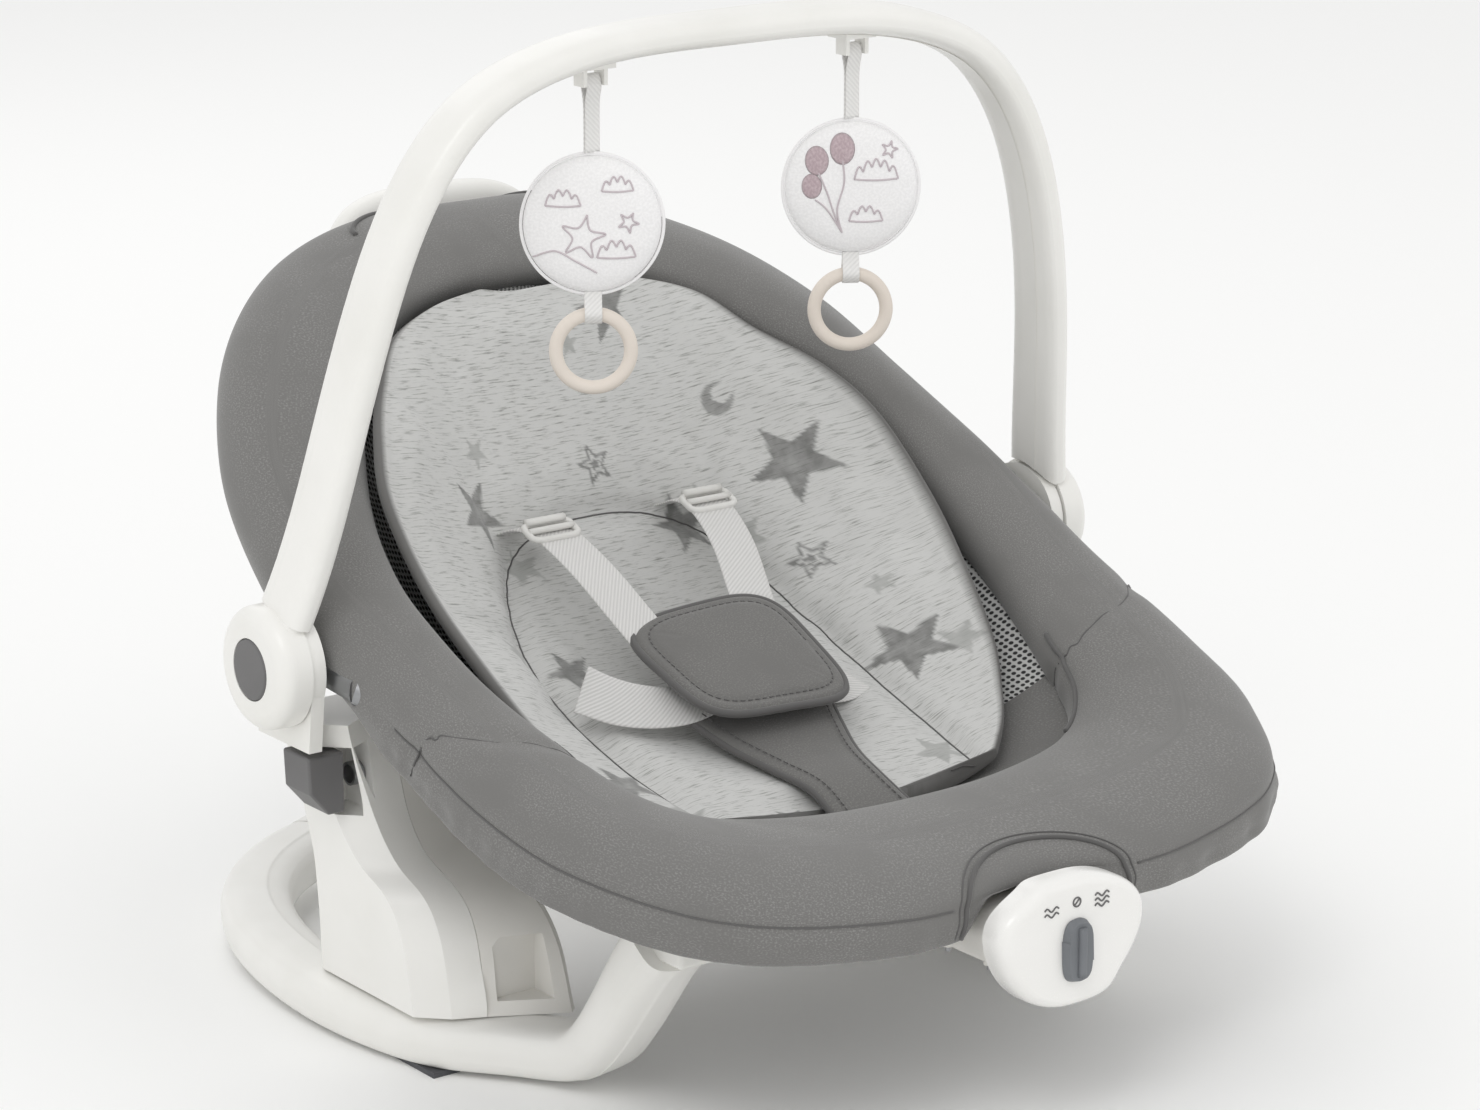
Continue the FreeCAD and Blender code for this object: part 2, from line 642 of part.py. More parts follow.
def build_toys():
    toy_z = TOY_EYE_Z - 83.0
    disc = Part.makeCylinder(TOY_R, 22, V(TOY_X, TOY_EYE_Y - 11, toy_z), Y_AXIS)
    disc = disc.makeFillet(9, [e for e in disc.Edges if e.BoundBox.YLength < 1])
    axle = V(TOY_X, TOY_EYE_Y, toy_z)
    save_toy("toy_disc", disc, axle)

    eye = rod(TOY_X - 5, TOY_X + 5, 3.4, y=TOY_EYE_Y, z=TOY_EYE_Z)
    tape = block(TOY_X - 5, TOY_X + 5, TOY_EYE_Y - 1, TOY_EYE_Y + 1, toy_z + TOY_R - 0.3, TOY_EYE_Z)
    ring_top = toy_z - TOY_R - 12.0
    loop = rod(TOY_X - 5, TOY_X + 5, 7.0, y=TOY_EYE_Y, z=ring_top)
    tail = block(TOY_X - 5, TOY_X + 5, TOY_EYE_Y - 1, TOY_EYE_Y + 1, ring_top + 5.5, toy_z - TOY_R + 0.3)
    ribbon = eye.fuse([tape]).cut(rod(TOY_X - 6, TOY_X + 6, 1.5 + RUN_FIT, y=TOY_EYE_Y, z=TOY_EYE_Z))
    lower = loop.fuse([tail]).cut(rod(TOY_X - 6, TOY_X + 6, 5.4, y=TOY_EYE_Y, z=ring_top))
    lower = tilted(lower, TOY_YAW, axle, Z_AXIS)
    disc = tilted(disc, TOY_YAW, axle, Z_AXIS)
    both = Part.makeCompound([ribbon.cut(disc), lower.cut(disc)])
    save("ribbon_right", both)
    save("ribbon_left", both.translated(V(-2 * TOY_X, 0, 0)))
    ring = Part.makeTorus(RING_R, RING_TUBE_R, V(TOY_X, TOY_EYE_Y, ring_top - RING_R), Y_AXIS)
    save_toy("teether_ring", ring, axle)


# ---- brackets between base and seat -------------------------------------------------------
def build_brackets(rail, rim):
    """Sockets under the front of the seat that take the tops of the risers."""
    bracket = block(158, 184, -208, -176, 104, 136, fillet=3)
    bracket = bracket.cut(rail).cut(rim)
    save("front_brackets", Part.makeCompound([bracket, mirrored(bracket)]))


rail = build_base()
build_columns()
build_latch_buttons()
unit_clear = build_unit()
hub_clear = build_frame()
rim_back, rim_front = build_rim(hub_clear, unit_clear)
build_brackets(rail, rim_front)
build_insert(rim_back)
build_harness()
build_handle(rim_back)
build_toy_bar()
build_toys()
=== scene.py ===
# %% [markdown]
# # A baby bouncer seat, from the frame outwards
# The hard parts of this seat come from a CAD model that is loaded once and never moved. This
# lesson makes what CAD is poor at: sewn, padded and printed fabric, webbing, plush toys, and the
# finish of every plastic. Lengths are metres, +Y points to the head end and +Z is up.
# %% Load the frame
import bmesh
import bpy
import numpy as np
from math import cos, pi, radians, sin
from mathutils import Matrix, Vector, noise
from mathutils.bvhtree import BVHTree


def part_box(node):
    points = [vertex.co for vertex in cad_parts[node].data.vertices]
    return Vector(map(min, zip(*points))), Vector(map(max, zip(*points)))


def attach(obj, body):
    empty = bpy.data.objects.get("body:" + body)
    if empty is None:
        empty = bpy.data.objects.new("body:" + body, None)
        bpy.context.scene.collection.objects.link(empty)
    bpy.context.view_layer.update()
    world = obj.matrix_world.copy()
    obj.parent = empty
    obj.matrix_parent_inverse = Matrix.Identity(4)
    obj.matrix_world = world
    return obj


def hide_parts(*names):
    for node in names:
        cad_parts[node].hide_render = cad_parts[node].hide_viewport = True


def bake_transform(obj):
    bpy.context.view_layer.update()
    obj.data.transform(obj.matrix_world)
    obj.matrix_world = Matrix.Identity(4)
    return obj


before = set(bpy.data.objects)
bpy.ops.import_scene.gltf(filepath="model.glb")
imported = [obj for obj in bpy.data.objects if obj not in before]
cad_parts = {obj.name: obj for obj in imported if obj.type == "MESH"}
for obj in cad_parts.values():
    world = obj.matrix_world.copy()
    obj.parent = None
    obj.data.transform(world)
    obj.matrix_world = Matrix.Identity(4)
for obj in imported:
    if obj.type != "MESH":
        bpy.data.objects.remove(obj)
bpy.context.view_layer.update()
MM = 0.001

# %% [markdown]
# The camera and the light come first, because every later choice of bump and colour is judged
# under them. The light is soft and comes from large panels, as in a product studio, so that white
# plastic keeps its shading and dark knit isn't lost.
# %% Camera, light and floor
SENSOR = 36.0
LENS = 109.46
TOWARDS_CAMERA = Vector((-0.5759, -0.7726, 0.2672))
LOOK_AT = Vector((0.0, -0.0152, 0.265))
DISTANCE = 2.647

camera = bpy.data.objects.new("camera", bpy.data.cameras.new("camera"))
bpy.context.scene.collection.objects.link(camera)
camera.data.sensor_width = SENSOR
camera.data.lens = LENS
camera.location = LOOK_AT + TOWARDS_CAMERA * DISTANCE
camera.rotation_mode = "QUATERNION"
camera.rotation_quaternion = (-TOWARDS_CAMERA).to_track_quat("-Z", "Y")
bpy.context.scene.camera = camera


def linear(hex_colour, alpha=1.0):
    """An sRGB hex colour as linear light."""
    channels = [int(hex_colour[i:i + 2], 16) / 255 for i in (1, 3, 5)]
    return tuple(c / 12.92 if c <= 0.04045 else ((c + 0.055) / 1.055) ** 2.4 for c in channels) + (alpha,)


def add_node(material, kind, settings=None, **inputs):
    """A shader node with its settings; an input is a value, a hex colour, or an output to link."""
    tree = material.node_tree
    node = tree.nodes.new(kind)
    for key, value in (settings or {}).items():
        setattr(node, key, value)
    for key, value in inputs.items():
        name = key.replace("_", " ")
        socket = node.inputs[int(key[1:])] if key[1:].isdigit() else node.inputs[name]
        if isinstance(value, bpy.types.NodeSocket):
            tree.links.new(value, socket)
        else:
            socket.default_value = linear(value) if isinstance(value, str) else value
    return node


def area_light(name, place, size, power):
    lamp = bpy.data.lights.new(name, "AREA")
    lamp.size = size
    lamp.energy = power
    obj = bpy.data.objects.new(name, lamp)
    bpy.context.scene.collection.objects.link(obj)
    obj.location = place
    obj.rotation_mode = "QUATERNION"
    obj.rotation_quaternion = (LOOK_AT - Vector(place)).to_track_quat("-Z", "Y")


# Name, place, size in metres and power in watts.
for lamp_values in (("key", (-1.6, -1.3, 2.6), 1.2, 14), ("fill", (2.4, -1.8, 1.5), 2.2, 3),
                    ("rim", (0.6, 2.6, 2.2), 2.0, 7)):
    area_light(*lamp_values)
STUDIO_BRIGHTNESS = 0.92
world = bpy.data.worlds.new("studio")
bpy.context.scene.world = world
world.use_nodes = True
world.node_tree.nodes["Background"].inputs[0].default_value = linear("#fbfbfb")
world.node_tree.nodes["Background"].inputs[1].default_value = STUDIO_BRIGHTNESS
bpy.context.scene.view_settings.view_transform = "Standard"

# %% [markdown]
# Everything sewn is built on a grid: one direction runs along the piece and the other round or
# across it. A grid keeps its order through a cloth simulation, so that seams, piping and printed
# stars can be placed on the finished fabric by row and column. A free-form remesh would lose that.
# %% Grid, tube and curve helpers


def along(points, count, closed=False):
    """count points on a smooth (Catmull-Rom) curve through the points, evenly spaced in number."""
    p = np.array(points, float)
    last = len(p) if closed else len(p) - 1
    out = []
    for value in np.linspace(0, last, count, endpoint=not closed):
        i = min(int(value), last - 1)
        f = value - i
        if closed:
            a, b, c, d = (p[(i + k) % len(p)] for k in (-1, 0, 1, 2))
        else:
            a, b, c, d = (p[min(max(i + k, 0), len(p) - 1)] for k in (-1, 0, 1, 2))
        out.append(0.5 * (2 * b + (c - a) * f + (2 * a - 5 * b + 4 * c - d) * f * f
                          + (3 * b - a - 3 * c + d) * f ** 3))
    return np.array(out)


def grid_piece(name, rows, material, flat=None, close_rows=False, close_columns=False, caps=False):
    """A mesh on a grid of points; flat gives each point's place on the flat cloth, in metres."""
    rows = np.asarray(rows, float)
    n, m = rows.shape[:2]
    faces = []
    for i in range(n if close_rows else n - 1):
        for j in range(m if close_columns else m - 1):
            a, b = i * m + j, i * m + (j + 1) % m
            c, d = ((i + 1) % n) * m + (j + 1) % m, ((i + 1) % n) * m + j
            faces.append((a, b, c, d))
    if caps:
        faces += [tuple(range(m - 1, -1, -1)), tuple((n - 1) * m + j for j in range(m))]
    mesh = bpy.data.meshes.new(name)
    mesh.from_pydata(rows.reshape(-1, 3).tolist(), [], faces)
    if flat is not None:
        places = np.asarray(flat, float).reshape(-1, 2)
        layer = mesh.uv_layers.new(name="cloth")
        index = np.array([loop.vertex_index for loop in mesh.loops])
        layer.data.foreach_set("uv", places[index].ravel())
    mesh.polygons.foreach_set("use_smooth", [True] * len(mesh.polygons))
    mesh.materials.append(material)
    piece = bpy.data.objects.new(name, mesh)
    bpy.context.scene.collection.objects.link(piece)
    make_outward(piece)
    return piece


def make_outward(piece):
    """Turns the faces so that they look out of a closed piece."""
    work = bmesh.new()
    work.from_mesh(piece.data)
    bmesh.ops.recalc_face_normals(work, faces=work.faces)
    work.to_mesh(piece.data)
    work.free()


def points_of(piece):
    values = np.zeros(len(piece.data.vertices) * 3)
    piece.data.vertices.foreach_get("co", values)
    return values.reshape(-1, 3)


def set_points(piece, values):
    piece.data.vertices.foreach_set("co", np.asarray(values, float).ravel())
    piece.data.update()


def subdivided(piece, levels=1):
    """Applies a subdivision surface, which rounds the cloth between its threads of the grid."""
    modifier = piece.modifiers.new("smooth", "SUBSURF")
    modifier.levels = levels
    bake_modifiers(piece)


def bake_modifiers(piece):
    graph = bpy.context.evaluated_depsgraph_get()
    graph.update()
    final = bpy.data.meshes.new_from_object(piece.evaluated_get(graph), preserve_all_data_layers=True,
                                            depsgraph=graph)
    piece.modifiers.clear()
    piece.data = final


def swell(piece, held, pressure=4.0, cap=0.005):
    """Blows the piece up like stuffed cloth; held is 1 where thread keeps it down and 0 where it is free."""
    start = points_of(piece)
    group = piece.vertex_groups.new(name="sewn")
    for index, weight in enumerate(held):
        if weight > 0.01:
            group.add([index], float(min(weight, 1.0)), "REPLACE")
    cloth = piece.modifiers.new("Cloth", "CLOTH")
    cloth.settings.vertex_group_mass = "sewn"
    cloth.settings.use_pressure = True
    cloth.settings.uniform_pressure_force = pressure
    cloth.settings.effector_weights.gravity = 0
    cloth.settings.quality = 4
    cloth.point_cache.frame_start, cloth.point_cache.frame_end = 1, 20
    for number in range(1, 21):
        bpy.context.scene.frame_set(number)
    graph = bpy.context.evaluated_depsgraph_get()
    end = np.zeros(len(start) * 3)
    piece.evaluated_get(graph).data.vertices.foreach_get("co", end)
    move = end.reshape(-1, 3) - start
    length = np.linalg.norm(move, axis=1, keepdims=True)
    move *= np.minimum(1.0, cap / np.maximum(length, 1e-9))
    piece.modifiers.remove(cloth)
    piece.vertex_groups.clear()
    set_points(piece, start + move)
    bpy.context.scene.frame_set(1)
    print(piece.name, "swelled by up to", round(float(np.minimum(length, cap).max()) * 1000, 1), "mm")


def tube_piece(name, points, radius, material, closed=False, sides=8):
    """A round cord, such as piping, along a list of points."""
    p = np.array(points, float)
    ahead = np.roll(p, -1, 0) - np.roll(p, 1, 0) if closed else np.gradient(p, axis=0)
    ahead /= np.linalg.norm(ahead, axis=1, keepdims=True)
    side = np.cross(ahead[0], (0, 0, 1) if abs(ahead[0][2]) < 0.8 else (1, 0, 0))
    rows = []
    for here, way in zip(p, ahead):
        side = side - way * side.dot(way)
        side /= np.linalg.norm(side)
        up = np.cross(way, side)
        rows.append([here + radius * (cos(a) * side + sin(a) * up)
                     for a in np.linspace(0, 2 * pi, sides, endpoint=False)])
    return grid_piece(name, rows, material, close_rows=closed, close_columns=True, caps=not closed)


def joined(pieces, name):
    """Several meshes made one."""
    with bpy.context.temp_override(active_object=pieces[0], selected_editable_objects=pieces,
                                   object=pieces[0], selected_objects=pieces):
        bpy.ops.object.join()
    pieces[0].name = name
    return pieces[0]


def stitches(name, path, material, length=3.2 * MM, gap=1.8 * MM, radius=0.45 * MM):
    """Short raised threads laid end to end along a path."""
    p = np.array(path, float)
    step = np.linalg.norm(np.diff(p, axis=0), axis=1)
    run = np.concatenate([[0], np.cumsum(step)])

    def at(distance):
        return np.array([np.interp(distance, run, p[:, k]) for k in range(3)])
    threads = []
    distance = 0.0
    while distance + length < run[-1]:
        ends = [at(distance + length * f) for f in (0, 0.3, 0.7, 1)]
        threads.append(tube_piece("thread", ends, radius, material, sides=5))
        distance += length + gap
    return joined(threads, name)


def falloff(distance, width):
    """1 on a line, easing to 0 at about twice the width."""
    return np.exp(-(np.asarray(distance) / width) ** 2)


# %% [markdown]
# ## Materials
# Each finish is named for what the real one is. Fabric detail uses the flat cloth's own
# coordinates (1 unit is 1 m of cloth), so a knit follows the cloth round a bend. Plastic has no
# thread, so it uses the object's own coordinates.
# %% Material helpers
THREADS_PER_M = 1 / (1.1 * MM)        # a real knit is about 0.7 mm; drawn at 1.1 mm so that it shows
COLOUR = {"data_type": "RGBA"}
EASED = {"interpolation_type": "SMOOTHSTEP"}


def new_material(name, colour, roughness, sheen=0.0, coat=0.0, metallic=0.0, ior=1.5):
    material = bpy.data.materials.new(name)
    material.use_nodes = True
    shader = material.node_tree.nodes["Principled BSDF"]
    shader.inputs["Base Color"].default_value = linear(colour)
    shader.inputs["Roughness"].default_value = roughness
    shader.inputs["Sheen Weight"].default_value = sheen
    shader.inputs["Coat Weight"].default_value = coat
    shader.inputs["Metallic"].default_value = metallic
    shader.inputs["IOR"].default_value = ior
    return material, shader


def link(material, output, socket):
    material.node_tree.links.new(output, socket)


def cloth_place(material, across=1.0, lengthwise=1.0):
    place = add_node(material, "ShaderNodeUVMap", {"uv_map": "cloth"})
    return add_node(material, "ShaderNodeMapping", Vector=place.outputs["UV"],
                    Scale=(across, lengthwise, 1.0)).outputs["Vector"]


# %% [markdown]
# Moulded ABS has a fine spark-eroded grain, which breaks up its highlights, and its tone varies a
# little in soft clouds; the slight scuffing where hands touch is not drawn. The grain is about 0.5 mm.
# %% Moulded plastics and metal


def moulded_plastic(name, colour, shade, roughness, coat=0.0, grain=0.5 * MM):
    material, shader = new_material(name, colour, roughness, coat=coat, ior=1.53)
    place = add_node(material, "ShaderNodeTexCoord").outputs["Object"]
    cloudy = add_node(material, "ShaderNodeTexNoise", Vector=place, Scale=14.0, Detail=3.0)
    cloud_share = add_node(material, "ShaderNodeMapRange", EASED, Value=cloudy.outputs["Fac"],
                           From_Min=0.35, From_Max=0.75)
    toned = add_node(material, "ShaderNodeMix", COLOUR, i0=cloud_share.outputs["Result"], i6=colour, i7=shade)
    link(material, toned.outputs[2], shader.inputs["Base Color"])
    fine = add_node(material, "ShaderNodeTexNoise", Vector=place, Scale=1 / grain, Detail=2.0)
    rough = add_node(material, "ShaderNodeMapRange", Value=fine.outputs["Fac"],
                     To_Min=roughness - 0.06, To_Max=roughness + 0.08)
    link(material, rough.outputs["Result"], shader.inputs["Roughness"])
    bump = add_node(material, "ShaderNodeBump", Height=fine.outputs["Fac"], Distance=0.04 * MM, Strength=1.0)
    link(material, bump.outputs["Normal"], shader.inputs["Normal"])
    return material


white_abs = moulded_plastic("white moulded ABS", "#efeeea", "#e9e8e3", 0.36, coat=0.15)
glossy_white_abs = moulded_plastic("glossy white ABS", "#f2f1ee", "#eeedea", 0.24, coat=0.35, grain=0.9 * MM)
cream_abs = moulded_plastic("cream moulded ABS, matt", "#e6e4df", "#dfddd7", 0.5)
grey_abs = moulded_plastic("grey moulded ABS, matt", "#6a6969", "#626161", 0.48)
knob_abs = moulded_plastic("grey soft-touch plastic", "#777a7e", "#6e7175", 0.55)
clear_pa = moulded_plastic("pale nylon", "#e3e2df", "#d8d7d3", 0.42)
silicone = moulded_plastic("beige silicone, matt", "#e3dad0", "#dbd1c6", 0.55, grain=1.2 * MM)
rubber = moulded_plastic("grey rubber", "#55565a", "#4a4b4e", 0.8)
steel, _ = new_material("drawn steel", "#9c9d9f", 0.38, metallic=1.0)
print("plastics made")

# %% [markdown]
# The dark cover is a knit bonded to thin foam, like neoprene. Up close it is flecked, with pale
# fibres on a grey ground, and it has a soft sheen where it turns away from the light.
# %% Neoprene-like knit


def bonded_knit(name, ground, fleck, depth=0.045 * MM):
    material, shader = new_material(name, ground, 0.88, sheen=0.25)
    shader.inputs["Sheen Roughness"].default_value = 0.45
    place = cloth_place(material)
    loops = add_node(material, "ShaderNodeTexVoronoi", {"feature": "F1"}, Vector=place, Scale=THREADS_PER_M)
    flecks = add_node(material, "ShaderNodeTexNoise", Vector=place, Scale=900.0, Detail=3.0)
    patches = add_node(material, "ShaderNodeTexNoise", Vector=place, Scale=22.0, Detail=3.0)
    fleck_share = add_node(material, "ShaderNodeMapRange", EASED, Value=flecks.outputs["Fac"],
                           From_Min=0.46, From_Max=0.7)
    flecked = add_node(material, "ShaderNodeMix", COLOUR, i0=fleck_share.outputs["Result"],
                       i6=ground, i7=fleck)
    patch_share = add_node(material, "ShaderNodeMapRange", EASED, Value=patches.outputs["Fac"],
                           From_Min=0.4, From_Max=0.75)
    toned = add_node(material, "ShaderNodeMix", COLOUR, i0=patch_share.outputs["Result"],
                     i6=flecked.outputs[2], i7=ground)
    link(material, toned.outputs[2], shader.inputs["Base Color"])
    bump = add_node(material, "ShaderNodeBump", Height=loops.outputs["Distance"], Distance=depth,
                    Strength=1.0)
    link(material, bump.outputs["Normal"], shader.inputs["Normal"])
    return material


dark_knit = bonded_knit("dark grey bonded knit", "#737270", "#8b8a88")
pad_knit = bonded_knit("dark grey knit of the pads", "#6b6a68", "#7f7e7b")
binding = bonded_knit("dark binding tape", "#5d5c5b", "#6a6968", 0.1 * MM)

# %% [markdown]
# The insert is heather jersey: pale yarn with short dark slubs that run across the cloth. The
# stars are printed on it, so the slubs still show through them. Each star's depth is kept on the
# cloth itself, as an attribute made later from the star's outline.
# %% Printed heather jersey


def heather_jersey():
    material, shader = new_material("printed heather jersey", "#c4c4c2", 0.92, sheen=0.2)
    place = cloth_place(material, across=70.0, lengthwise=900.0)
    slubs = add_node(material, "ShaderNodeTexNoise", Vector=place, Scale=1.0, Detail=5.0, Roughness=0.62)
    slub_share = add_node(material, "ShaderNodeMapRange", EASED, Value=slubs.outputs["Fac"],
                          From_Min=0.50, From_Max=0.70)
    yarn = add_node(material, "ShaderNodeMix", COLOUR, i0=slub_share.outputs["Result"],
                    i6="#cbcbc9", i7="#8f908c")
    soft = add_node(material, "ShaderNodeTexNoise", Vector=cloth_place(material), Scale=90.0, Detail=4.0)
    worn = add_node(material, "ShaderNodeMapRange", Value=soft.outputs["Fac"], To_Min=0.35, To_Max=1.25)
    for attribute, ink in (("pale_print", "#9fa09d"), ("dark_print", "#636361")):
        print_depth = add_node(material, "ShaderNodeAttribute", {"attribute_name": attribute})
        patchy = add_node(material, "ShaderNodeMath", {"operation": "MULTIPLY", "use_clamp": True},
                          i0=print_depth.outputs["Fac"], i1=worn.outputs["Result"])
        yarn = add_node(material, "ShaderNodeMix", COLOUR, i0=patchy.outputs[0], i6=yarn.outputs[2], i7=ink)
    border = add_node(material, "ShaderNodeAttribute", {"attribute_name": "border"})
    edged = add_node(material, "ShaderNodeMix", COLOUR, i0=border.outputs["Fac"], i6=yarn.outputs[2],
                     i7="#6b6a68")
    link(material, edged.outputs[2], shader.inputs["Base Color"])
    bump = add_node(material, "ShaderNodeBump", Height=slubs.outputs["Fac"], Distance=0.15 * MM, Strength=1.0)
    link(material, bump.outputs["Normal"], shader.inputs["Normal"])
    return material


jersey = heather_jersey()

# %% [markdown]
# Webbing is a flat twill: ribs run along it, about 1.2 mm apart. Spacer mesh is two faces of open
# knit: a pale net whose holes are painted near-black, as painted shade for the shade down inside them. Plush
# is short pile, so its bump is irregular.
# %% Webbing, spacer mesh and plush


RIB_SPACING = 1.2 * MM
HOLE_SPACING = 3.4 * MM


def webbing_material(name, colour, shade):
    material, shader = new_material(name, colour, 0.72, sheen=0.15)
    place = cloth_place(material)
    ribs = add_node(material, "ShaderNodeTexWave", {"bands_direction": "DIAGONAL"}, Vector=place,
                    Scale=1 / (4 * RIB_SPACING), Distortion=0.4)
    ribbed = add_node(material, "ShaderNodeMix", COLOUR, i0=ribs.outputs["Fac"], i6=shade, i7=colour)
    link(material, ribbed.outputs[2], shader.inputs["Base Color"])
    bump = add_node(material, "ShaderNodeBump", Height=ribs.outputs["Fac"], Distance=0.15 * MM, Strength=1.0)
    link(material, bump.outputs["Normal"], shader.inputs["Normal"])
    return material


def spacer_mesh():
    material, shader = new_material("spacer mesh", "#8e8e8c", 0.8)
    place = cloth_place(material)
    holes = add_node(material, "ShaderNodeTexVoronoi", {"feature": "F1"}, Vector=place,
                     Scale=1 / HOLE_SPACING, Randomness=0.15)
    thread_share = add_node(material, "ShaderNodeMapRange", EASED, Value=holes.outputs["Distance"],
                            From_Min=0.28, From_Max=0.42)
    # The near-black in the holes is painted shade, standing for the shade down inside the mesh; the pale
    # colour is the threads' own.
    net_and_painted_hole_shade = add_node(material, "ShaderNodeMix", COLOUR, i0=thread_share.outputs["Result"],
                      i6="#2e2e2e", i7="#c9c9c7")
    link(material, net_and_painted_hole_shade.outputs[2], shader.inputs["Base Color"])
    bump = add_node(material, "ShaderNodeBump", Height=holes.outputs["Distance"], Distance=0.5 * MM,
                    Strength=1.0)
    link(material, bump.outputs["Normal"], shader.inputs["Normal"])
    return material


def plush_material(name, colour, shade):
    material, shader = new_material(name, colour, 0.95, sheen=0.4)
    place = cloth_place(material)
    pile = add_node(material, "ShaderNodeTexNoise", Vector=place, Scale=650.0, Detail=4.0)
    pile_share = add_node(material, "ShaderNodeMapRange", EASED, Value=pile.outputs["Fac"],
                          From_Min=0.35, From_Max=0.7)
    piled = add_node(material, "ShaderNodeMix", COLOUR, i0=pile_share.outputs["Result"], i6=shade, i7=colour)
    link(material, piled.outputs[2], shader.inputs["Base Color"])
    bump = add_node(material, "ShaderNodeBump", Height=pile.outputs["Fac"], Distance=0.10 * MM, Strength=1.0)
    link(material, bump.outputs["Normal"], shader.inputs["Normal"])
    return material


webbing = webbing_material("white polyester webbing", "#dcdbd9", "#c9c8c6")
ribbon_weave = webbing_material("white satin ribbon", "#e9e8e6", "#dddcda")
net = spacer_mesh()
plush = plush_material("white plush", "#f6f5f5", "#eeeded")
thread_lilac, _ = new_material("lilac-grey embroidery thread", "#c6bcc0", 0.6, sheen=0.3)
balloon_plush = plush_material("dusty pink felt", "#c4b3b7", "#b09da2")
thread_grey, _ = new_material("grey sewing thread", "#555453", 0.6, sheen=0.2)
print(len(bpy.data.materials), "materials")

# %% [markdown]
# ## The hard parts
# CAD's own shapes are right for these, so each only gets its finish.
# %% Finish the CAD parts


def finish_nodes(material, *names):
    for name in names:
        for side in ("", "_left", "_right"):
            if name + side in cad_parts:
                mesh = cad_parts[name + side].data
                mesh.materials.clear()
                mesh.materials.append(material)


finish_nodes(white_abs, "rail", "rear_rail", "column_outer", "hub_plate", "toy_arch", "toy_clips",
             "front_brackets", "head_handle")
finish_nodes(cream_abs, "column_inner", "cross_beam", "unit_rear_shell", "battery_door")
finish_nodes(glossy_white_abs, "unit_front_cover")
finish_nodes(grey_abs, "hub_button", "latch_button", "buckle_body", "buckle_button", "buckle_tongues",
             "recline_trigger")
finish_nodes(knob_abs, "mode_knob")
finish_nodes(silicone, "teether_ring")
finish_nodes(rubber, "grip_pads", "circuit_board")
finish_nodes(steel, "pivot_pins", "base_screws", "unit_screws", "latch_springs", "button_springs",
             "eccentric_weight", "vibration_motor", "front_frame_tube", "back_frame_tube", "battery_cells")

# %% [markdown]
# ## The padded rim
# The real rim is one tube of bonded knit over foam and a steel frame. It could be made from the two
# CAD halves, but a single grid round the whole seat has no gap at the recline hinge, and its rows
# carry the seams. It is blown up a little as cloth, held down where it is sewn and at the hubs.
# %% The rim's grid
BASE, BACK = "base", "backrest"

# Stations from head to foot, right-hand half, in mm: inner edge, outer edge, thickness.
RIM = [
    ((0, 217, 392), (0, 300, 420), 42), ((50, 214, 390), (66, 303, 416), 44),
    ((94, 202, 380), (122, 296, 400), 48), ((132, 170, 361), (172, 266, 376), 54),
    ((164, 132, 334), (213, 222, 340), 57), ((185, 92, 300), (243, 164, 296), 57),
    ((194, 50, 264), (262, 82, 257), 54), ((194, 10, 236), (264, 12, 232), 52),
    ((189, -30, 212), (264, -55, 206), 52), ((176, -80, 188), (262, -132, 180), 56),
    ((160, -124, 167), (247, -200, 162), 58), ((126, -150, 151), (196, -272, 146), 58),
    ((62, -157, 141), (100, -302, 136), 55), ((0, -157, 138), (0, -304, 134), 54),
]
ROUND, SECTION = 312, 48           # steps round the rim, and round its section
FOOT = len(RIM) - 1


def whole_ring(rows):
    """Right-hand stations, completed with their mirror images."""
    other = [(-x, y, z) for x, y, z in rows[1:-1]]
    return list(rows) + other[::-1]


def ring_points(column):
    return along(whole_ring([row[column] for row in RIM]), ROUND, closed=True) * MM


inner_line, outer_line = ring_points(0), ring_points(1)
thickness = along([(0, 0, t) for t in [r[2] for r in RIM] + [r[2] for r in RIM[1:-1]][::-1]],
                  ROUND, closed=True)[:, 2] * MM
station = np.arange(ROUND) * (2 * FOOT) / ROUND
station = np.where(station > FOOT, 2 * FOOT - station, station)
side_sign = np.where(np.arange(ROUND) < ROUND / 2, 1, -1)
angle = np.linspace(0, 2 * pi, SECTION, endpoint=False) + pi / 2


def superellipse(a, power=2.35):
    return (np.sign(np.cos(a)) * np.abs(np.cos(a)) ** (2 / power),
            np.sign(np.sin(a)) * np.abs(np.sin(a)) ** (2 / power))


def rim_rows(size):
    """The rim's grid; outward across the section is cos, upward is sin."""
    rows = np.zeros((ROUND, SECTION, 3))
    middle = (inner_line + outer_line) / 2
    ahead = np.roll(middle, -1, 0) - np.roll(middle, 1, 0)
    c, s = superellipse(angle)
    for i in range(ROUND):
        across = outer_line[i] - inner_line[i]
        width = np.linalg.norm(across)
        across /= width
        up = np.cross(across, ahead[i])
        up /= np.linalg.norm(up)
        up *= np.sign(up[2])
        rows[i] = middle[i] + size * (np.outer(c * width / 2, across) + np.outer(s * thickness[i] / 2, up))
    return rows


BEFORE_SWELLING = 0.965             # the cover starts this much smaller, and the cloth fills it out
rim = rim_rows(BEFORE_SWELLING)
rim_middle = (inner_line + outer_line) / 2
run_round = np.concatenate([[0], np.cumsum(np.linalg.norm(np.diff(rim_middle, axis=0), axis=1))])
run_section = np.linspace(0, 0.25, SECTION)
rim_flat = np.stack(np.meshgrid(run_round, run_section, indexing="ij"), -1)
print("rim grid", rim.shape, "round the rim", round(float(run_round[-1]), 3), "m")

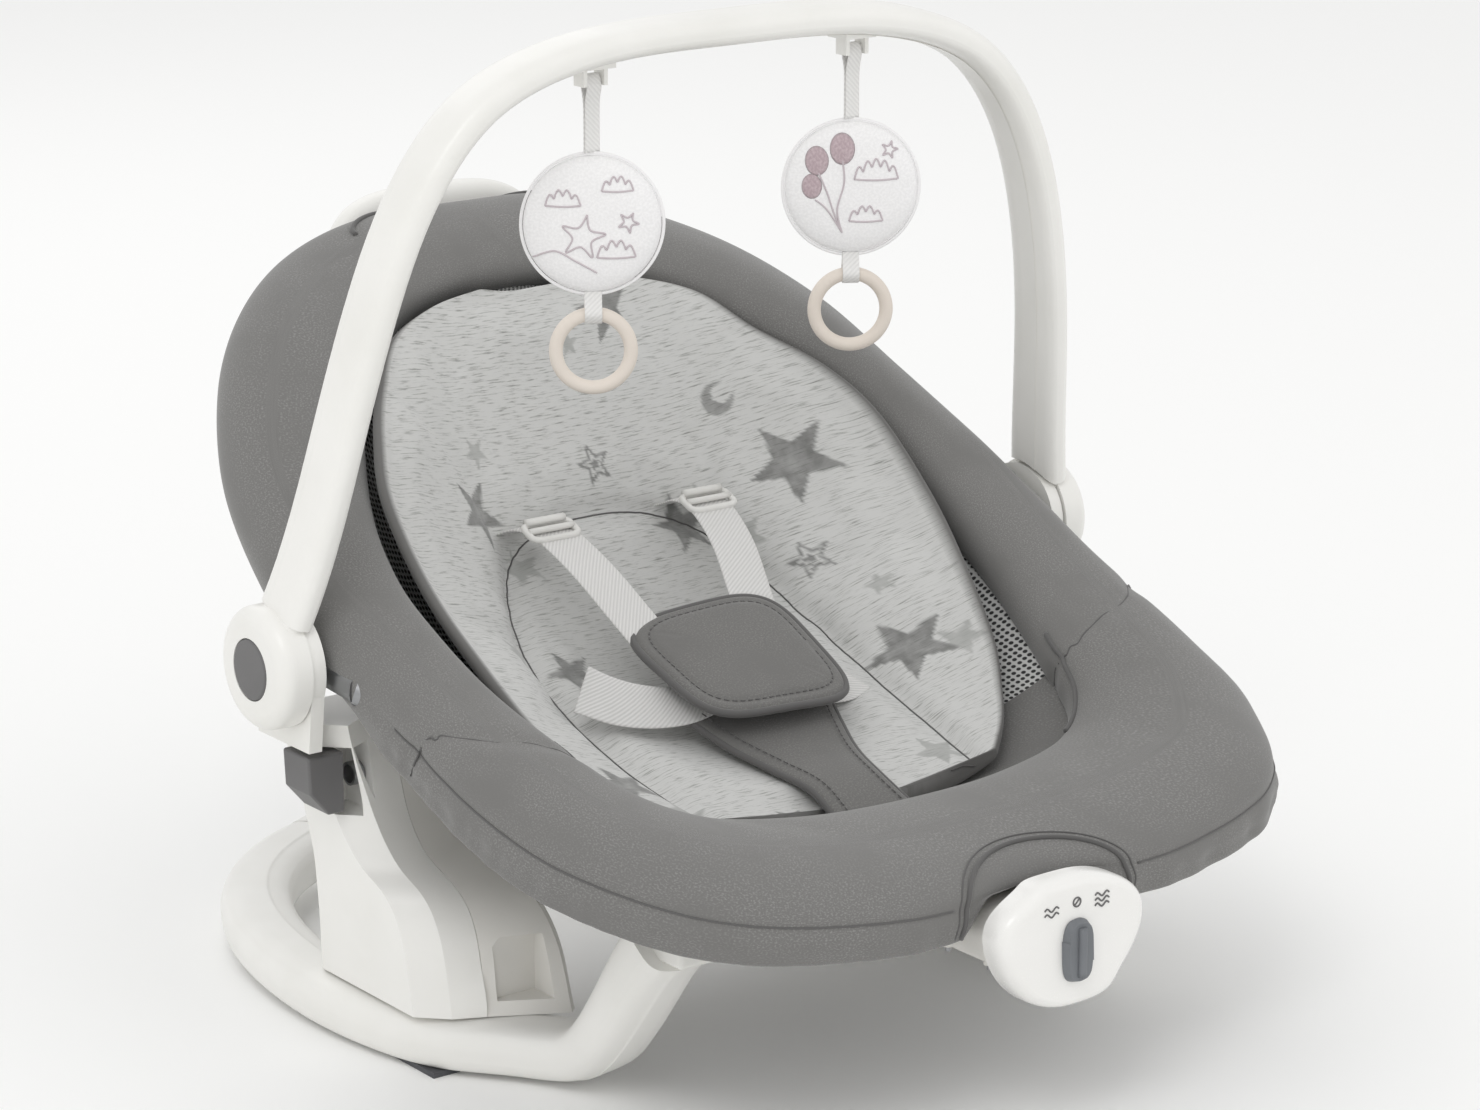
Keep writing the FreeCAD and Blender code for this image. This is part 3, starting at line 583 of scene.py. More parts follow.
# %% [markdown]
# A seam is where two panels meet: the cloth dives to the thread on both sides of it. Two cross seams
# join the long side panels to the front panel, one seam runs round the front above a gathered
# hem, and the cover is scooped out round the vibration unit and at the head handle.
# %% Seams, hem and scoops
outward_part, upward_part = superellipse(angle)
CROSS_SEAM = 8.75                   # station where a cross seam passes the middle of the section
CROSS_SLANT = 0.62                  # stations it moves towards the hub at the outer edge
SEAM_WIDTH = 0.10                   # in stations
CROSS_SEAM_DEPTH, HEM_SEAM_DEPTH = 2.2 * MM, 3.0 * MM
UNIT_SCOOP_DEPTH, HEAD_SCOOP_DEPTH = 9 * MM, 5 * MM
seam_gap = np.abs(station[:, None] - (CROSS_SEAM - CROSS_SLANT * outward_part[None, :]))
on_top = np.clip((upward_part + 0.75) / 0.5, 0, 1)[None, :]
cross_seam = falloff(seam_gap, SEAM_WIDTH) * on_top
HEM_ANGLE = 2 * pi / SECTION        # section angle of the hem seam, a little over the outer edge
section_angle = (angle + pi) % (2 * pi) - pi
front_part = np.clip((station - 7.3) / 0.5, 0, 1)[:, None]
hem_seam = falloff(section_angle[None, :] - HEM_ANGLE, 0.13) * front_part
near_hub = np.clip(1.5 - np.abs(station - 6.6), 0, 1)[:, None] * np.ones((1, SECTION))
scoop_front = falloff(np.linalg.norm((rim - np.array((0, -0.304, 0.112))) / np.array((0.062, 0.05, 0.052)),
                                     axis=2), 1.0)
scoop_head = falloff(np.linalg.norm((rim - np.array((0, 0.300, 0.408))) / np.array((0.080, 0.03, 0.030)),
                                    axis=2), 1.0)
held = np.clip(np.maximum.reduce([cross_seam, hem_seam, near_hub, scoop_front, scoop_head]), 0, 1)
rim_cover = grid_piece("rim_cover", rim, dark_knit, rim_flat, close_rows=True, close_columns=True)
swell(rim_cover, held.ravel(), pressure=4.0, cap=4 * MM)

inward = (inner_line + outer_line)[:, None, :] / 2 - points_of(rim_cover).reshape(rim.shape)
inward /= np.linalg.norm(inward, axis=2, keepdims=True)
shaped = points_of(rim_cover).reshape(rim.shape)
shaped = shaped + inward * (CROSS_SEAM_DEPTH * cross_seam + HEM_SEAM_DEPTH * hem_seam)[..., None]
shaped[..., 1] += UNIT_SCOOP_DEPTH * np.clip(scoop_front * 1.2, 0, 1)
shaped[..., 1] -= HEAD_SCOOP_DEPTH * np.clip(scoop_head * 1.3, 0, 1)

# Below the hem seam the band stands nearly upright, and its elastic gathers it into small folds.
HEM_BAND = 9 * MM
FOLD_SPACING, FOLD_DEPTH = 15 * MM, 2.0 * MM
half_width = np.linalg.norm(outer_line - inner_line, axis=1, keepdims=True) / 2
outward_way = (outer_line - inner_line) / (2 * half_width)
upright = np.clip((1 - outward_part)[None, :] * half_width - 2 * MM, 0, HEM_BAND)
window = np.clip((section_angle + 0.95) / 0.3, 0, 1) * np.clip((HEM_ANGLE - section_angle) / 0.1, 0, 1)
shaped += outward_way[:, None, :] * (upright * window[None, :] * front_part * (1 - scoop_front))[..., None]
gather_band = falloff(section_angle[None, :] - (HEM_ANGLE - 0.42), 0.3) * front_part
folds = np.array([noise.noise(Vector((run * 55.0, 3.7, 0.0))) for run in run_round])[:, None]
ripples = np.sin(run_round * 2 * pi / FOLD_SPACING + 5 * folds[:, 0])[:, None] + 0.8 * folds
shaped -= inward * (FOLD_DEPTH * gather_band * ripples)[..., None]
# Slow unevenness, as stretched cloth has over foam, and pull lines that fan out at a cross seam.
UNEVENNESS, PULL_DEPTH = 0.9 * MM, 0.35 * MM
slow = np.array([[noise.noise(Vector(tuple(p * 16.0))) for p in row] for row in shaped])
pull = falloff(seam_gap, 0.55) * on_top * np.sin(np.arange(SECTION) * 1.9 + 2.0 * station[:, None])
shaped -= inward * (UNEVENNESS * slow + PULL_DEPTH * pull)[..., None]
# The cover's underside goes up round the battery bay, so that nothing passes through the bay.
_, bay_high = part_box("unit_rear_shell")
BAY_ROOM = 3 * MM
in_bay = ((np.abs(shaped[..., 0]) < bay_high.x + BAY_ROOM) & (shaped[..., 1] < bay_high.y + BAY_ROOM)
          & (shaped[..., 2] < bay_high.z + BAY_ROOM))
shaped[..., 2] = np.where(in_bay, bay_high.z + BAY_ROOM, shaped[..., 2])
set_points(rim_cover, shaped)
subdivided(rim_cover)
rim_tree = BVHTree.FromObject(rim_cover, bpy.context.evaluated_depsgraph_get())
print("rim cover has", len(rim_cover.data.vertices), "points")


# %% [markdown]
# Piping is a cord in a folded strip, sewn into an edge. It is laid on the finished cover: each point
# of its line is dropped on to the cloth, so it never floats or sinks.
# %% Piping on the rim


def dropped(points, way, lift=0.5 * MM):
    """Each point moved along a direction until it meets the cover."""
    way = Vector(way).normalized()
    found = []
    for p in points:
        place, normal, _, _ = rim_tree.ray_cast(Vector(p), way)
        if place is not None:
            found.append(place + (normal if normal.dot(way) < 0 else -normal) * lift)
    return found


def on_rim(points, lift=0.2 * MM):
    """Each point moved to the nearest place on the cover."""
    found = [rim_tree.find_nearest(Vector(p)) for p in points]
    return [place + normal * lift for place, normal, _, _ in found]


ARC_WAY = Vector((0, 0.8, -0.6))    # the front of the rim is met square on
ARC_CENTRE = Vector((0, -0.372, 0.182))
ARC_HALF = (59 * MM, 42 * MM)


def unit_arc(grow, count=70):
    """An arch over the vibration unit, which runs down both of its sides."""
    return [ARC_CENTRE + Vector(((ARC_HALF[0] + grow) * cos(a), 0, 0))
            + Vector((0, 0.6, 0.8)) * (ARC_HALF[1] + grow) * sin(a)
            for a in np.linspace(-0.45, pi + 0.45, count)]


unit_piping = tube_piece("unit_piping", dropped(unit_arc(0.0), ARC_WAY), 1.5 * MM, binding)
unit_stitch = tube_piece("unit_stitch", dropped(unit_arc(4.5 * MM), ARC_WAY, 0.1 * MM), 0.6 * MM, binding)
head_line = [(0.088 * cos(a), 0.262 + 0.034 * sin(a), 0.60) for a in np.linspace(0, pi, 50)]
head_piping = tube_piece("head_piping", dropped(head_line, (0, 0, -1)), 1.6 * MM, binding)
pipings = [unit_piping, unit_stitch, head_piping]

seam_columns = [j for j in range(SECTION) if upward_part[j] > -0.55]
seam_columns.sort(key=lambda j: outward_part[j])
hem_column = int(np.argmin(np.abs(section_angle - HEM_ANGLE)))
PANEL_COLUMN = 9                    # a little above the inner edge


def seam_path(sign):
    """The thread line of a cross seam, read from the finished grid."""
    path = []
    for j in seam_columns:
        target = CROSS_SEAM - CROSS_SLANT * outward_part[j]
        choices = np.where(side_sign == sign)[0]
        i = choices[np.argmin(np.abs(station[choices] - target))]
        path.append(shaped[i, j])
    return along(path, 70)


for sign, word in ((1, "right"), (-1, "left")):
    pipings.append(tube_piece("cross_seam_" + word, seam_path(sign), 0.7 * MM, binding))
    beside = side_sign == sign
    hem_rows = np.where(beside & (station > 7.8) & (np.abs(outer_line[:, 0]) > ARC_HALF[0] + 6 * MM))[0]
    hem_line = along(shaped[hem_rows, hem_column], 120)
    pipings.append(tube_piece("hem_seam_" + word, on_rim(hem_line), 0.6 * MM, binding))
    panel_rows = np.where(beside & (station > 8.9) & (station < 10.9))[0]
    panel_line = along(shaped[panel_rows, PANEL_COLUMN], 60)
    pipings.append(tube_piece("panel_piping_" + word, on_rim(panel_line, 0.6 * MM), 1.6 * MM, binding))
print(len(pipings), "lines of piping and thread on the rim")

# %% [markdown]
# ## The soft insert
# The insert is a thin quilt in the shape of the seat's dish, with a raised hugger for the head. It is
# a closed grid, top and underside. Its quilting seams are held while it is blown up. It then gets
# two subdivisions, because the printed stars need points about 1.5 mm apart.
# %% The insert's grid
INSERT = [
    ((34, 203, 390), (204, 388)), ((70, 199, 385), (202, 383)), ((108, 180, 374), (196, 362)),
    ((132, 154, 352), (186, 334)), ((156, 117, 332), (168, 300)), ((172, 83, 306), (146, 267)),
    ((176, 40, 268), (112, 221)), ((172, 2, 236), (58, 180)), ((160, -48, 194), (-16, 156)),
    ((142, -80, 172), (-66, 147)), ((126, -101, 160), (-98, 143)), ((104, -122, 150), (-122, 141)),
]
SIDE_POWER = 2.6
QUILT = 14 * MM
LONG, WIDE = 88, 57                 # steps along and across
EDGE_GROW = 1.045                   # the binding laps a little on to the rim
insert_edge = along([row[0] for row in INSERT], LONG) * MM * (EDGE_GROW, 1, 1)
insert_edge[:, 2] += 2 * MM
insert_middle = along([(0, *row[1]) for row in INSERT], LONG) * MM
across = np.linspace(-1, 1, WIDE)
insert_run = np.concatenate([[0], np.cumsum(np.linalg.norm(np.diff(insert_middle, axis=0), axis=1))])


def dish_points(u, i, deep=0.0):
    """A point of the dish, u from -1 to 1 across, pushed down by deep."""
    lift = insert_edge[i] * (0, 1, 1) - insert_middle[i]
    length = np.linalg.norm(lift)
    up = lift / length
    slope = SIDE_POWER * abs(u) ** (SIDE_POWER - 1) * length / insert_edge[i][0]
    out = np.array((-slope * np.sign(u), 0, 0)) + up
    out /= np.linalg.norm(out)
    place = insert_middle[i] + lift * abs(u) ** SIDE_POWER + np.array((insert_edge[i][0] * u, 0, 0))
    return place - out * deep


def quilt_thickness(u):
    return QUILT * (1 - 0.5 * abs(u) ** 3)


top_face = [[dish_points(u, i) for u in across] for i in range(LONG)]
underside = [[dish_points(u, i, quilt_thickness(u)) for u in across[::-1]] for i in range(LONG)]
insert_rows = np.concatenate([np.array(top_face), np.array(underside)], axis=1)
sideways = np.outer(insert_edge[:, 0] * 1.12, across)
flat_top = np.stack([sideways, np.repeat(insert_run[:, None], WIDE, 1)], -1)
insert_flat = np.concatenate([flat_top, flat_top[:, ::-1]], axis=1)

# %% [markdown]
# Two seams shape the insert: an arch round the head, which runs on down both sides, and the edge
# binding. Distances to them are measured on the flat cloth. A thread is laid in the arch's groove.
# %% Quilting seams and cloth
# Half of the arch on the flat cloth, in mm: sideways, then down from the head end.
ARCH_SEAM = [(0, 148), (42, 152), (78, 172), (100, 208), (112, 262), (116, 330), (112, 400), (100, 470),
             (84, 540)]


def distance_to(line, places):
    """Distance from each flat place to a line of points and its mirror image."""
    best = np.full(places.shape[:-1], 9.0)
    for sign in (1, -1):
        for x, y in along([(sign * a, b, 0) for a, b in line], 160)[:, :2] * MM:
            best = np.minimum(best, np.hypot(places[..., 0] - x, places[..., 1] - y))
    return best


seam_distance = distance_to(ARCH_SEAM, insert_flat)
edge_share = np.abs(np.concatenate([across, across[::-1]]))[None, :] * np.ones((LONG, 1))
edge_hold = np.clip((edge_share - 0.9) / 0.08, 0, 1)
end_hold = falloff(np.minimum(insert_run, insert_run[-1] - insert_run), 7 * MM)[:, None]
is_top = np.arange(2 * WIDE) < WIDE
quilt_hold = np.maximum.reduce([falloff(seam_distance, 5 * MM), edge_hold, end_hold * np.ones((1, 2 * WIDE)),
                                np.where(is_top, 0.0, 0.9)[None, :] * np.ones((LONG, 1))])
insert_cover = grid_piece("insert_cover", insert_rows, jersey, insert_flat, close_columns=True, caps=True)
swell(insert_cover, quilt_hold.ravel(), pressure=3.6, cap=8 * MM)
raised = points_of(insert_cover).reshape(insert_rows.shape)
SEAM_DIP, WRINKLE_DEPTH = 6.0 * MM, 1.1 * MM
dip = (SEAM_DIP * falloff(seam_distance, 6 * MM) * is_top)[..., None]
wrinkle = np.array([[noise.noise(Vector((a[0] * 24, a[1] * 9, 1.3))) for a in row] for row in insert_flat])
towards_seat = np.zeros_like(raised)
towards_seat[:, :WIDE] = np.array(underside)[:, ::-1] - np.array(top_face)
towards_seat /= np.maximum(np.linalg.norm(towards_seat, axis=2, keepdims=True), 1e-9)
raised += towards_seat * (dip + (WRINKLE_DEPTH * wrinkle * is_top)[..., None])
set_points(insert_cover, raised)
# The side and underside are a plain dark cloth; the value is carried through the subdivision.
dark_side = np.where(is_top[None, :] & (edge_share < 0.985), 0.0, 1.0) * np.ones((LONG, 1))
attribute = insert_cover.data.attributes.new("border", "FLOAT", "POINT")
attribute.data.foreach_set("value", dark_side.ravel().astype(np.float32))
subdivided(insert_cover, 2)
insert_tree = BVHTree.FromObject(insert_cover, bpy.context.evaluated_depsgraph_get())
arch_thread = []
for x, y, _ in along([(-a, b, 0) for a, b in ARCH_SEAM[:0:-1]] + [(a, b, 0) for a, b in ARCH_SEAM], 220) * MM:
    weight = falloff(np.hypot(flat_top[..., 0] - x, flat_top[..., 1] - y), 5 * MM)[..., None]
    guess = (raised[:, :WIDE] * weight).sum(axis=(0, 1)) / weight.sum()
    place, normal, _, _ = insert_tree.find_nearest(Vector(guess))
    arch_thread.append(place + normal * 0.1 * MM)
arch_seam = tube_piece("arch_seam", arch_thread, 0.55 * MM, thread_grey)
print("insert has", len(insert_cover.data.vertices), "points")

# %% [markdown]
# The print is a loose scatter of stars: filled ones, outlined ones and pale ones. Each star is its
# place on the flat cloth, its radius, its turn and its kind. A five-pointed star's edge, seen from
# its centre, is a straight line between a tip and a notch, which has a short formula.
# %% Printed stars
# Millimetres and degrees: sideways, down from the head end, radius, turn, kind.
STARS = [
    (55, 22, 24, 10, "dark"), (18, 40, 9, 0, "pale"), (-86, 100, 11, 30, "pale"),
    (12, 118, 15, 12, "line"), (118, 96, 11, 0, "moon"), (150, 150, 30, 25, "dark"),
    (-102, 140, 25, 40, "dark"), (66, 168, 24, 8, "dark"), (84, 152, 10, 0, "pale"),
    (104, 186, 16, 20, "pale"), (-72, 176, 15, 5, "pale"), (134, 218, 16, 10, "line"),
    (16, 250, 16, 22, "line"), (158, 262, 10, 0, "pale"), (-86, 262, 22, 15, "dark"),
    (-132, 246, 17, 30, "pale"), (-62, 296, 14, 20, "pale"), (146, 318, 31, 12, "dark"),
    (172, 330, 17, 30, "pale"), (66, 318, 13, 0, "pale"), (-142, 392, 26, 20, "dark"),
    (-118, 432, 22, 8, "pale"), (22, 372, 14, 0, "line"), (96, 420, 20, 15, "pale"),
    (-50, 452, 15, 25, "line"), (142, 438, 12, 0, "pale"), (58, 500, 21, 10, "dark"),
    (-40, 520, 11, 0, "pale"),
]
TIP_ANGLE = 2 * pi / 5
NOTCH = 0.42                        # a notch's distance from the centre, as a share of a tip's


def star_reach(turn, radius):
    """How far a star's edge is from its centre, in the direction turn."""
    part = np.abs((turn % TIP_ANGLE) - TIP_ANGLE / 2)
    tip_to_axis = TIP_ANGLE / 2 - part
    notch_x, notch_y = NOTCH * cos(TIP_ANGLE / 2), NOTCH * sin(TIP_ANGLE / 2)
    return radius * notch_y / (np.sin(tip_to_axis) * (1 - notch_x) + np.cos(tip_to_axis) * notch_y)


count_points = len(insert_cover.data.vertices)
vertex_place = np.zeros((count_points, 2))
loops = np.zeros(len(insert_cover.data.loops), int)
insert_cover.data.loops.foreach_get("vertex_index", loops)
places = np.zeros(len(loops) * 2)
insert_cover.data.uv_layers["cloth"].data.foreach_get("uv", places)
vertex_place[loops] = places.reshape(-1, 2)
prints = {"dark_print": np.zeros(count_points), "pale_print": np.zeros(count_points)}
for sideways_mm, down_mm, radius_mm, turn_deg, kind in STARS:
    dx = vertex_place[:, 0] - sideways_mm * MM
    dy = vertex_place[:, 1] - down_mm * MM
    distance = np.hypot(dx, dy)
    if kind == "moon":
        reach = np.full(count_points, radius_mm * MM)
        bite = np.hypot(dx - 4 * MM, dy + 3 * MM) < radius_mm * MM * 0.62
    else:
        reach = star_reach(np.arctan2(dx, -dy) + radians(turn_deg), radius_mm * MM)
        bite = np.zeros(count_points, bool)
    inside = np.clip((reach - distance) / (1.2 * MM) + 0.5, 0, 1)
    if kind == "line":
        hollow = np.clip((reach * 0.66 - distance) / (1.2 * MM) + 0.5, 0, 1)
        core = np.clip((reach * 0.34 - distance) / (1.2 * MM) + 0.5, 0, 1)
        inside = inside - hollow + core
    inside[bite] = 0
    layer = "pale_print" if kind == "pale" else "dark_print"
    prints[layer] = np.maximum(prints[layer], inside * (0.75 if kind == "moon" else 0.9))
for key, values in prints.items():
    attribute = insert_cover.data.attributes.new(key, "FLOAT", "POINT")
    attribute.data.foreach_set("value", values.astype(np.float32))
print(len(STARS), "stars printed")

# %% [markdown]
# ## The mesh sling
# Under the insert hangs a sling of spacer mesh, sewn to the rim all round. It shows as a narrow
# strip between the rim and the insert. It is one stretched sheet, so its flat area is taken to be
# that of its own surface.
# %% The sling
SLING_DROP = 19 * MM               # the insert's thickness and a little air
SLING_LONG, SLING_WIDE = 72, 49
TUCK = 16 * MM                     # the sling's edge is sewn this far inside the rim
# The middle of the sling at each rim station, in mm: y, z.
SLING_MIDDLE = [(222, 394), (218, 386), (206, 368), (190, 336), (168, 300), (146, 264), (112, 220), (62, 182),
                (0, 160), (-66, 147), (-104, 141), (-140, 137), (-163, 137)]
sling_edge = []
for inner, outer, _ in RIM[:len(SLING_MIDDLE)]:
    way = np.array(outer, float) - inner
    sling_edge.append(np.array(inner, float) + way / np.linalg.norm(way) * TUCK / MM - (0, 0, 6))
sling_edge[0][0] = 26
sling_edge = along(sling_edge, SLING_LONG) * MM
sling_middle = along([(0, *m) for m in SLING_MIDDLE], SLING_LONG) * MM
drop_share = np.interp(np.arange(SLING_LONG), [0, 14, 52, SLING_LONG - 1], [0.35, 1, 1, 0.1])
sling_rows = []
for edge, middle, share in zip(sling_edge, sling_middle, drop_share):
    lift = edge * (0, 1, 1) - middle
    drop = np.array((0, 0.5, -0.87)) * SLING_DROP * share
    sling_rows.append([middle + drop * (1 - abs(u) ** 6) + lift * abs(u) ** SIDE_POWER
                       + np.array((edge[0] * u, 0, 0)) for u in np.linspace(-1, 1, SLING_WIDE)])
sling_rows = np.array(sling_rows)
sling_run = np.linspace(0, 0.58, SLING_LONG)
sling_flat = np.stack([np.outer(sling_edge[:, 0] * 1.15, np.linspace(-1, 1, SLING_WIDE)),
                       np.repeat(sling_run[:, None], SLING_WIDE, 1)], -1)
sling = grid_piece("mesh_sling", sling_rows, net, sling_flat)
# In front of the cross seams the sling is a panel of the rim's own knit.
sling.data.materials.append(dark_knit)
FRONT_PANEL_FROM = 0.73
for face in sling.data.polygons:
    if face.index // (SLING_WIDE - 1) > FRONT_PANEL_FROM * SLING_LONG:
        face.material_index = 1
subdivided(sling)

# %% [markdown]
# ## Belly pad and crotch pad
# Both are knit over thin foam with a bound edge and one line of stitching inside it. A pad is drawn
# as a rounded square from its middle outwards, so rows near the edge carry the binding.
# %% The belly pad
PAD_AT = Vector((0.0, -0.016, 0.203))
PAD_TILT = radians(21)
PAD_HALF = (56 * MM, 53 * MM)
PAD_THICK = 11 * MM
STITCH_INSET = 8 * MM


def rounded_square(a, power=4.2):
    return np.array(superellipse(a, power))


def on_pad(x, y, z):
    """Pad coordinates to the seat's; the pad's sides droop and one corner lifts a little."""
    droop = -0.0022 * (abs(x) / PAD_HALF[0]) ** 2 + 0.0035 * x * y / (PAD_HALF[0] * PAD_HALF[1])
    z = z + droop
    return (PAD_AT.x + x, PAD_AT.y + y * cos(PAD_TILT) - z * sin(PAD_TILT),
            PAD_AT.z + y * sin(PAD_TILT) + z * cos(PAD_TILT))


def pad_height(share):
    """Half thickness from the middle (0) to the edge (1)."""
    return PAD_THICK / 2 * (1 - share ** 6) ** 0.5 + 0.8 * MM * (1 - share)


PAD_ROUND, PAD_RINGS = 96, 22
pad_angles = np.linspace(0, 2 * pi, PAD_ROUND, endpoint=False)
shares = np.linspace(0.02, 1.0, PAD_RINGS)
pad_rows, pad_flat, pad_held = [], [], []
for side, order in ((1, shares), (-1, shares[::-1][1:])):
    for share in order:
        edge_gap = (1 - share) * PAD_HALF[0]
        sewn = falloff(edge_gap - STITCH_INSET, 1.6 * MM)
        height = side * (pad_height(share) - (1.6 * MM * sewn if side > 0 else 0))
        ring = [rounded_square(a) * PAD_HALF * share for a in pad_angles]
        pad_rows.append([on_pad(x, y, height) for x, y in ring])
        pad_flat.append([(x, y) for x, y in ring])
        pad_held.append([max(sewn, 1.0 if share > 0.97 else 0.0)] * PAD_ROUND)
belly_pad = grid_piece("belly_pad_cover", pad_rows, pad_knit, pad_flat, close_columns=True, caps=True)
swell(belly_pad, np.array(pad_held).ravel(), pressure=3.0, cap=2 * MM)
subdivided(belly_pad)


def pad_ring(inset, height):
    return [on_pad(*(rounded_square(a) * (PAD_HALF[0] - inset, PAD_HALF[1] - inset)), height)
            for a in np.linspace(0, 2 * pi, 160, endpoint=False)]


belly_binding = tube_piece("belly_binding", pad_ring(0.5 * MM, 0.0), 2.5 * MM, binding, closed=True)
pad_tree = BVHTree.FromObject(belly_pad, bpy.context.evaluated_depsgraph_get())
pad_down = Vector((0, sin(PAD_TILT), -cos(PAD_TILT)))


def on_pad_top(ring):
    found = []
    for p in ring:
        place = pad_tree.ray_cast(Vector(p) - pad_down * 0.03, pad_down)[0]
        if place is not None:
            found.append(place - pad_down * 0.2 * MM)
    return found


belly_stitch = stitches("belly_stitch", on_pad_top(pad_ring(STITCH_INSET, 0.0)), binding)
print("belly pad", len(belly_pad.data.vertices), "points")

# %% [markdown]
# The crotch pad is an hourglass strip. It starts wide under the belly pad, narrows, and ends at the
# front edge of the seat.
# %% The crotch pad
CROTCH_LINE = [(0, -34, 176), (0, -60, 165), (0, -88, 157), (0, -118, 151), (0, -147, 139)]
CROTCH_HALF = [50, 41, 31, 25, 27]
CROTCH_THICK = 9 * MM
ROWS = 46
crotch_line = along(CROTCH_LINE, ROWS) * MM
crotch_half = along([(w, 0, 0) for w in CROTCH_HALF], ROWS)[:, 0] * MM
crotch_ahead = np.gradient(crotch_line, axis=0)
crotch_up = np.cross((1, 0, 0), crotch_ahead)
crotch_up /= np.linalg.norm(crotch_up, axis=1, keepdims=True)
crotch_up *= np.sign(crotch_up[:, 2:3])
around = np.linspace(0, 2 * pi, 44, endpoint=False)
crotch_c, crotch_s = superellipse(around, 3.2)
crotch_rows = np.array([line + np.outer(crotch_c * half, (1, 0, 0))
                        + np.outer(crotch_s * CROTCH_THICK / 2, up)
                        for line, half, up in zip(crotch_line, crotch_half, crotch_up)])
crotch_run = np.linspace(0, 0.12, ROWS)
crotch_flat = np.stack([np.outer(crotch_half, crotch_c), np.repeat(crotch_run[:, None], 44, 1)], -1)
crotch_held = np.maximum(falloff(np.abs(crotch_c) - 0.74, 0.08) * (crotch_s > 0), np.abs(crotch_c) > 0.97)
crotch_pad = grid_piece("crotch_pad_cover", crotch_rows, pad_knit, crotch_flat, close_columns=True, caps=True)
swell(crotch_pad, np.repeat(crotch_held[None, :], ROWS, 0).ravel(), pressure=3.0, cap=2 * MM)
subdivided(crotch_pad)
crotch_trim = []
for sign, word in ((1, "right"), (-1, "left")):
    edge_line = crotch_line + np.outer(sign * crotch_half, (1, 0, 0))
    crotch_trim.append(tube_piece("crotch_binding_" + word, edge_line, 2.2 * MM, binding))
    inner = crotch_line + np.outer(sign * (crotch_half - 7 * MM), (1, 0, 0)) + crotch_up * 4.9 * MM
    crotch_trim.append(stitches("crotch_stitch_" + word, inner, binding))

# %% [markdown]
# ## Harness webbing
# A strap is a flat woven band with a true edge, so it is swept with a rounded flat section. The
# remesh that a cushion needs would erase it. The shoulder straps slope down under the belly pad.
# %% Straps and adjusters
WEB = (30 * MM, 1.6 * MM)


def strap(name, points, size, material, across=(1, 0, 0), count=40, twist=0.0):
    """A flat band along points given in mm; twist turns it evenly along its length, in degrees."""
    p = along(points, count) * MM
    ahead = np.gradient(p, axis=0)
    ahead /= np.linalg.norm(ahead, axis=1, keepdims=True)
    c, s = superellipse(np.linspace(0, 2 * pi, 20, endpoint=False), 5.0)
    rows, flat = [], []
    run = np.concatenate([[0], np.cumsum(np.linalg.norm(np.diff(p, axis=0), axis=1))])
    for k, (here, way) in enumerate(zip(p, ahead)):
        side = np.array(across, float)
        side -= way * side.dot(way)
        side /= np.linalg.norm(side)
        up = np.cross(way, side)
        turn = radians(twist) * k / (count - 1)
        side, up = cos(turn) * side + sin(turn) * up, cos(turn) * up - sin(turn) * side
        rows.append(here + np.outer(c * size[0] / 2, side) + np.outer(s * size[1] / 2, up))
        flat.append([(v * size[0] / 2, run[k]) for v in c])
    return grid_piece(name, rows, material, flat, close_columns=True, caps=True)


SHOULDER = [(63, 146, 252), (62, 132, 257), (59, 112, 264), (57, 91, 262), (52, 62, 247), (44, 34, 224),
            (38, 14, 207)]
WAIST = [(34, -26, 186), (52, -24, 184), (72, -19, 186), (90, -12, 191), (106, -3, 199)]
WAIST_TUCKED = [(30, -26, 182), (44, -24, 177), (58, -21, 174), (72, -18, 173), (84, -14, 175)]
shoulder_straps, waist_straps, adjusters = [], [], []
for sign, word in ((1, "right"), (-1, "left")):
    flip = [(sign * x, y, z) for x, y, z in SHOULDER]
    shoulder_straps.append(strap("shoulder_strap_piece_" + word, flip, WEB, webbing))
    flip = [(sign * x, y, z) for x, y, z in (WAIST if sign < 0 else WAIST_TUCKED)]
    waist_straps.append(strap("waist_strap_piece_" + word, flip, WEB, webbing, (0, 1, 0.35),
                              twist=-50 if sign < 0 else 6))
    centre = Vector((sign * 0.0585, 0.096, 0.2655))
    slope = radians(22)
    lengthwise = Vector((0, cos(slope), sin(slope)))
    upward = Vector((0, -sin(slope), cos(slope)))

    def on_adjuster(x, y, z=0.0):
        return centre + Vector((x, 0, 0)) + lengthwise * y + upward * z
    ring = [on_adjuster(*(rounded_square(a, 5.0) * (16.5 * MM, 8 * MM)))
            for a in np.linspace(0, 2 * pi, 60, endpoint=False)]
    frame_ring = tube_piece("adjuster_ring", ring, 2.1 * MM, clear_pa, closed=True, sides=10)
    bar = tube_piece("adjuster_bar", [on_adjuster(x, 0, 1.4 * MM) for x in np.linspace(-16 * MM, 16 * MM, 6)],
                     2.0 * MM, clear_pa, sides=10)
    lip_line = [on_adjuster(x, 8 * MM, 1.8 * MM) for x in np.linspace(-14 * MM, 14 * MM, 6)]
    lip = tube_piece("adjuster_lip", lip_line, 2.6 * MM, clear_pa, sides=10)
    adjusters.append(joined([frame_ring, bar, lip], "adjuster_piece_" + word))

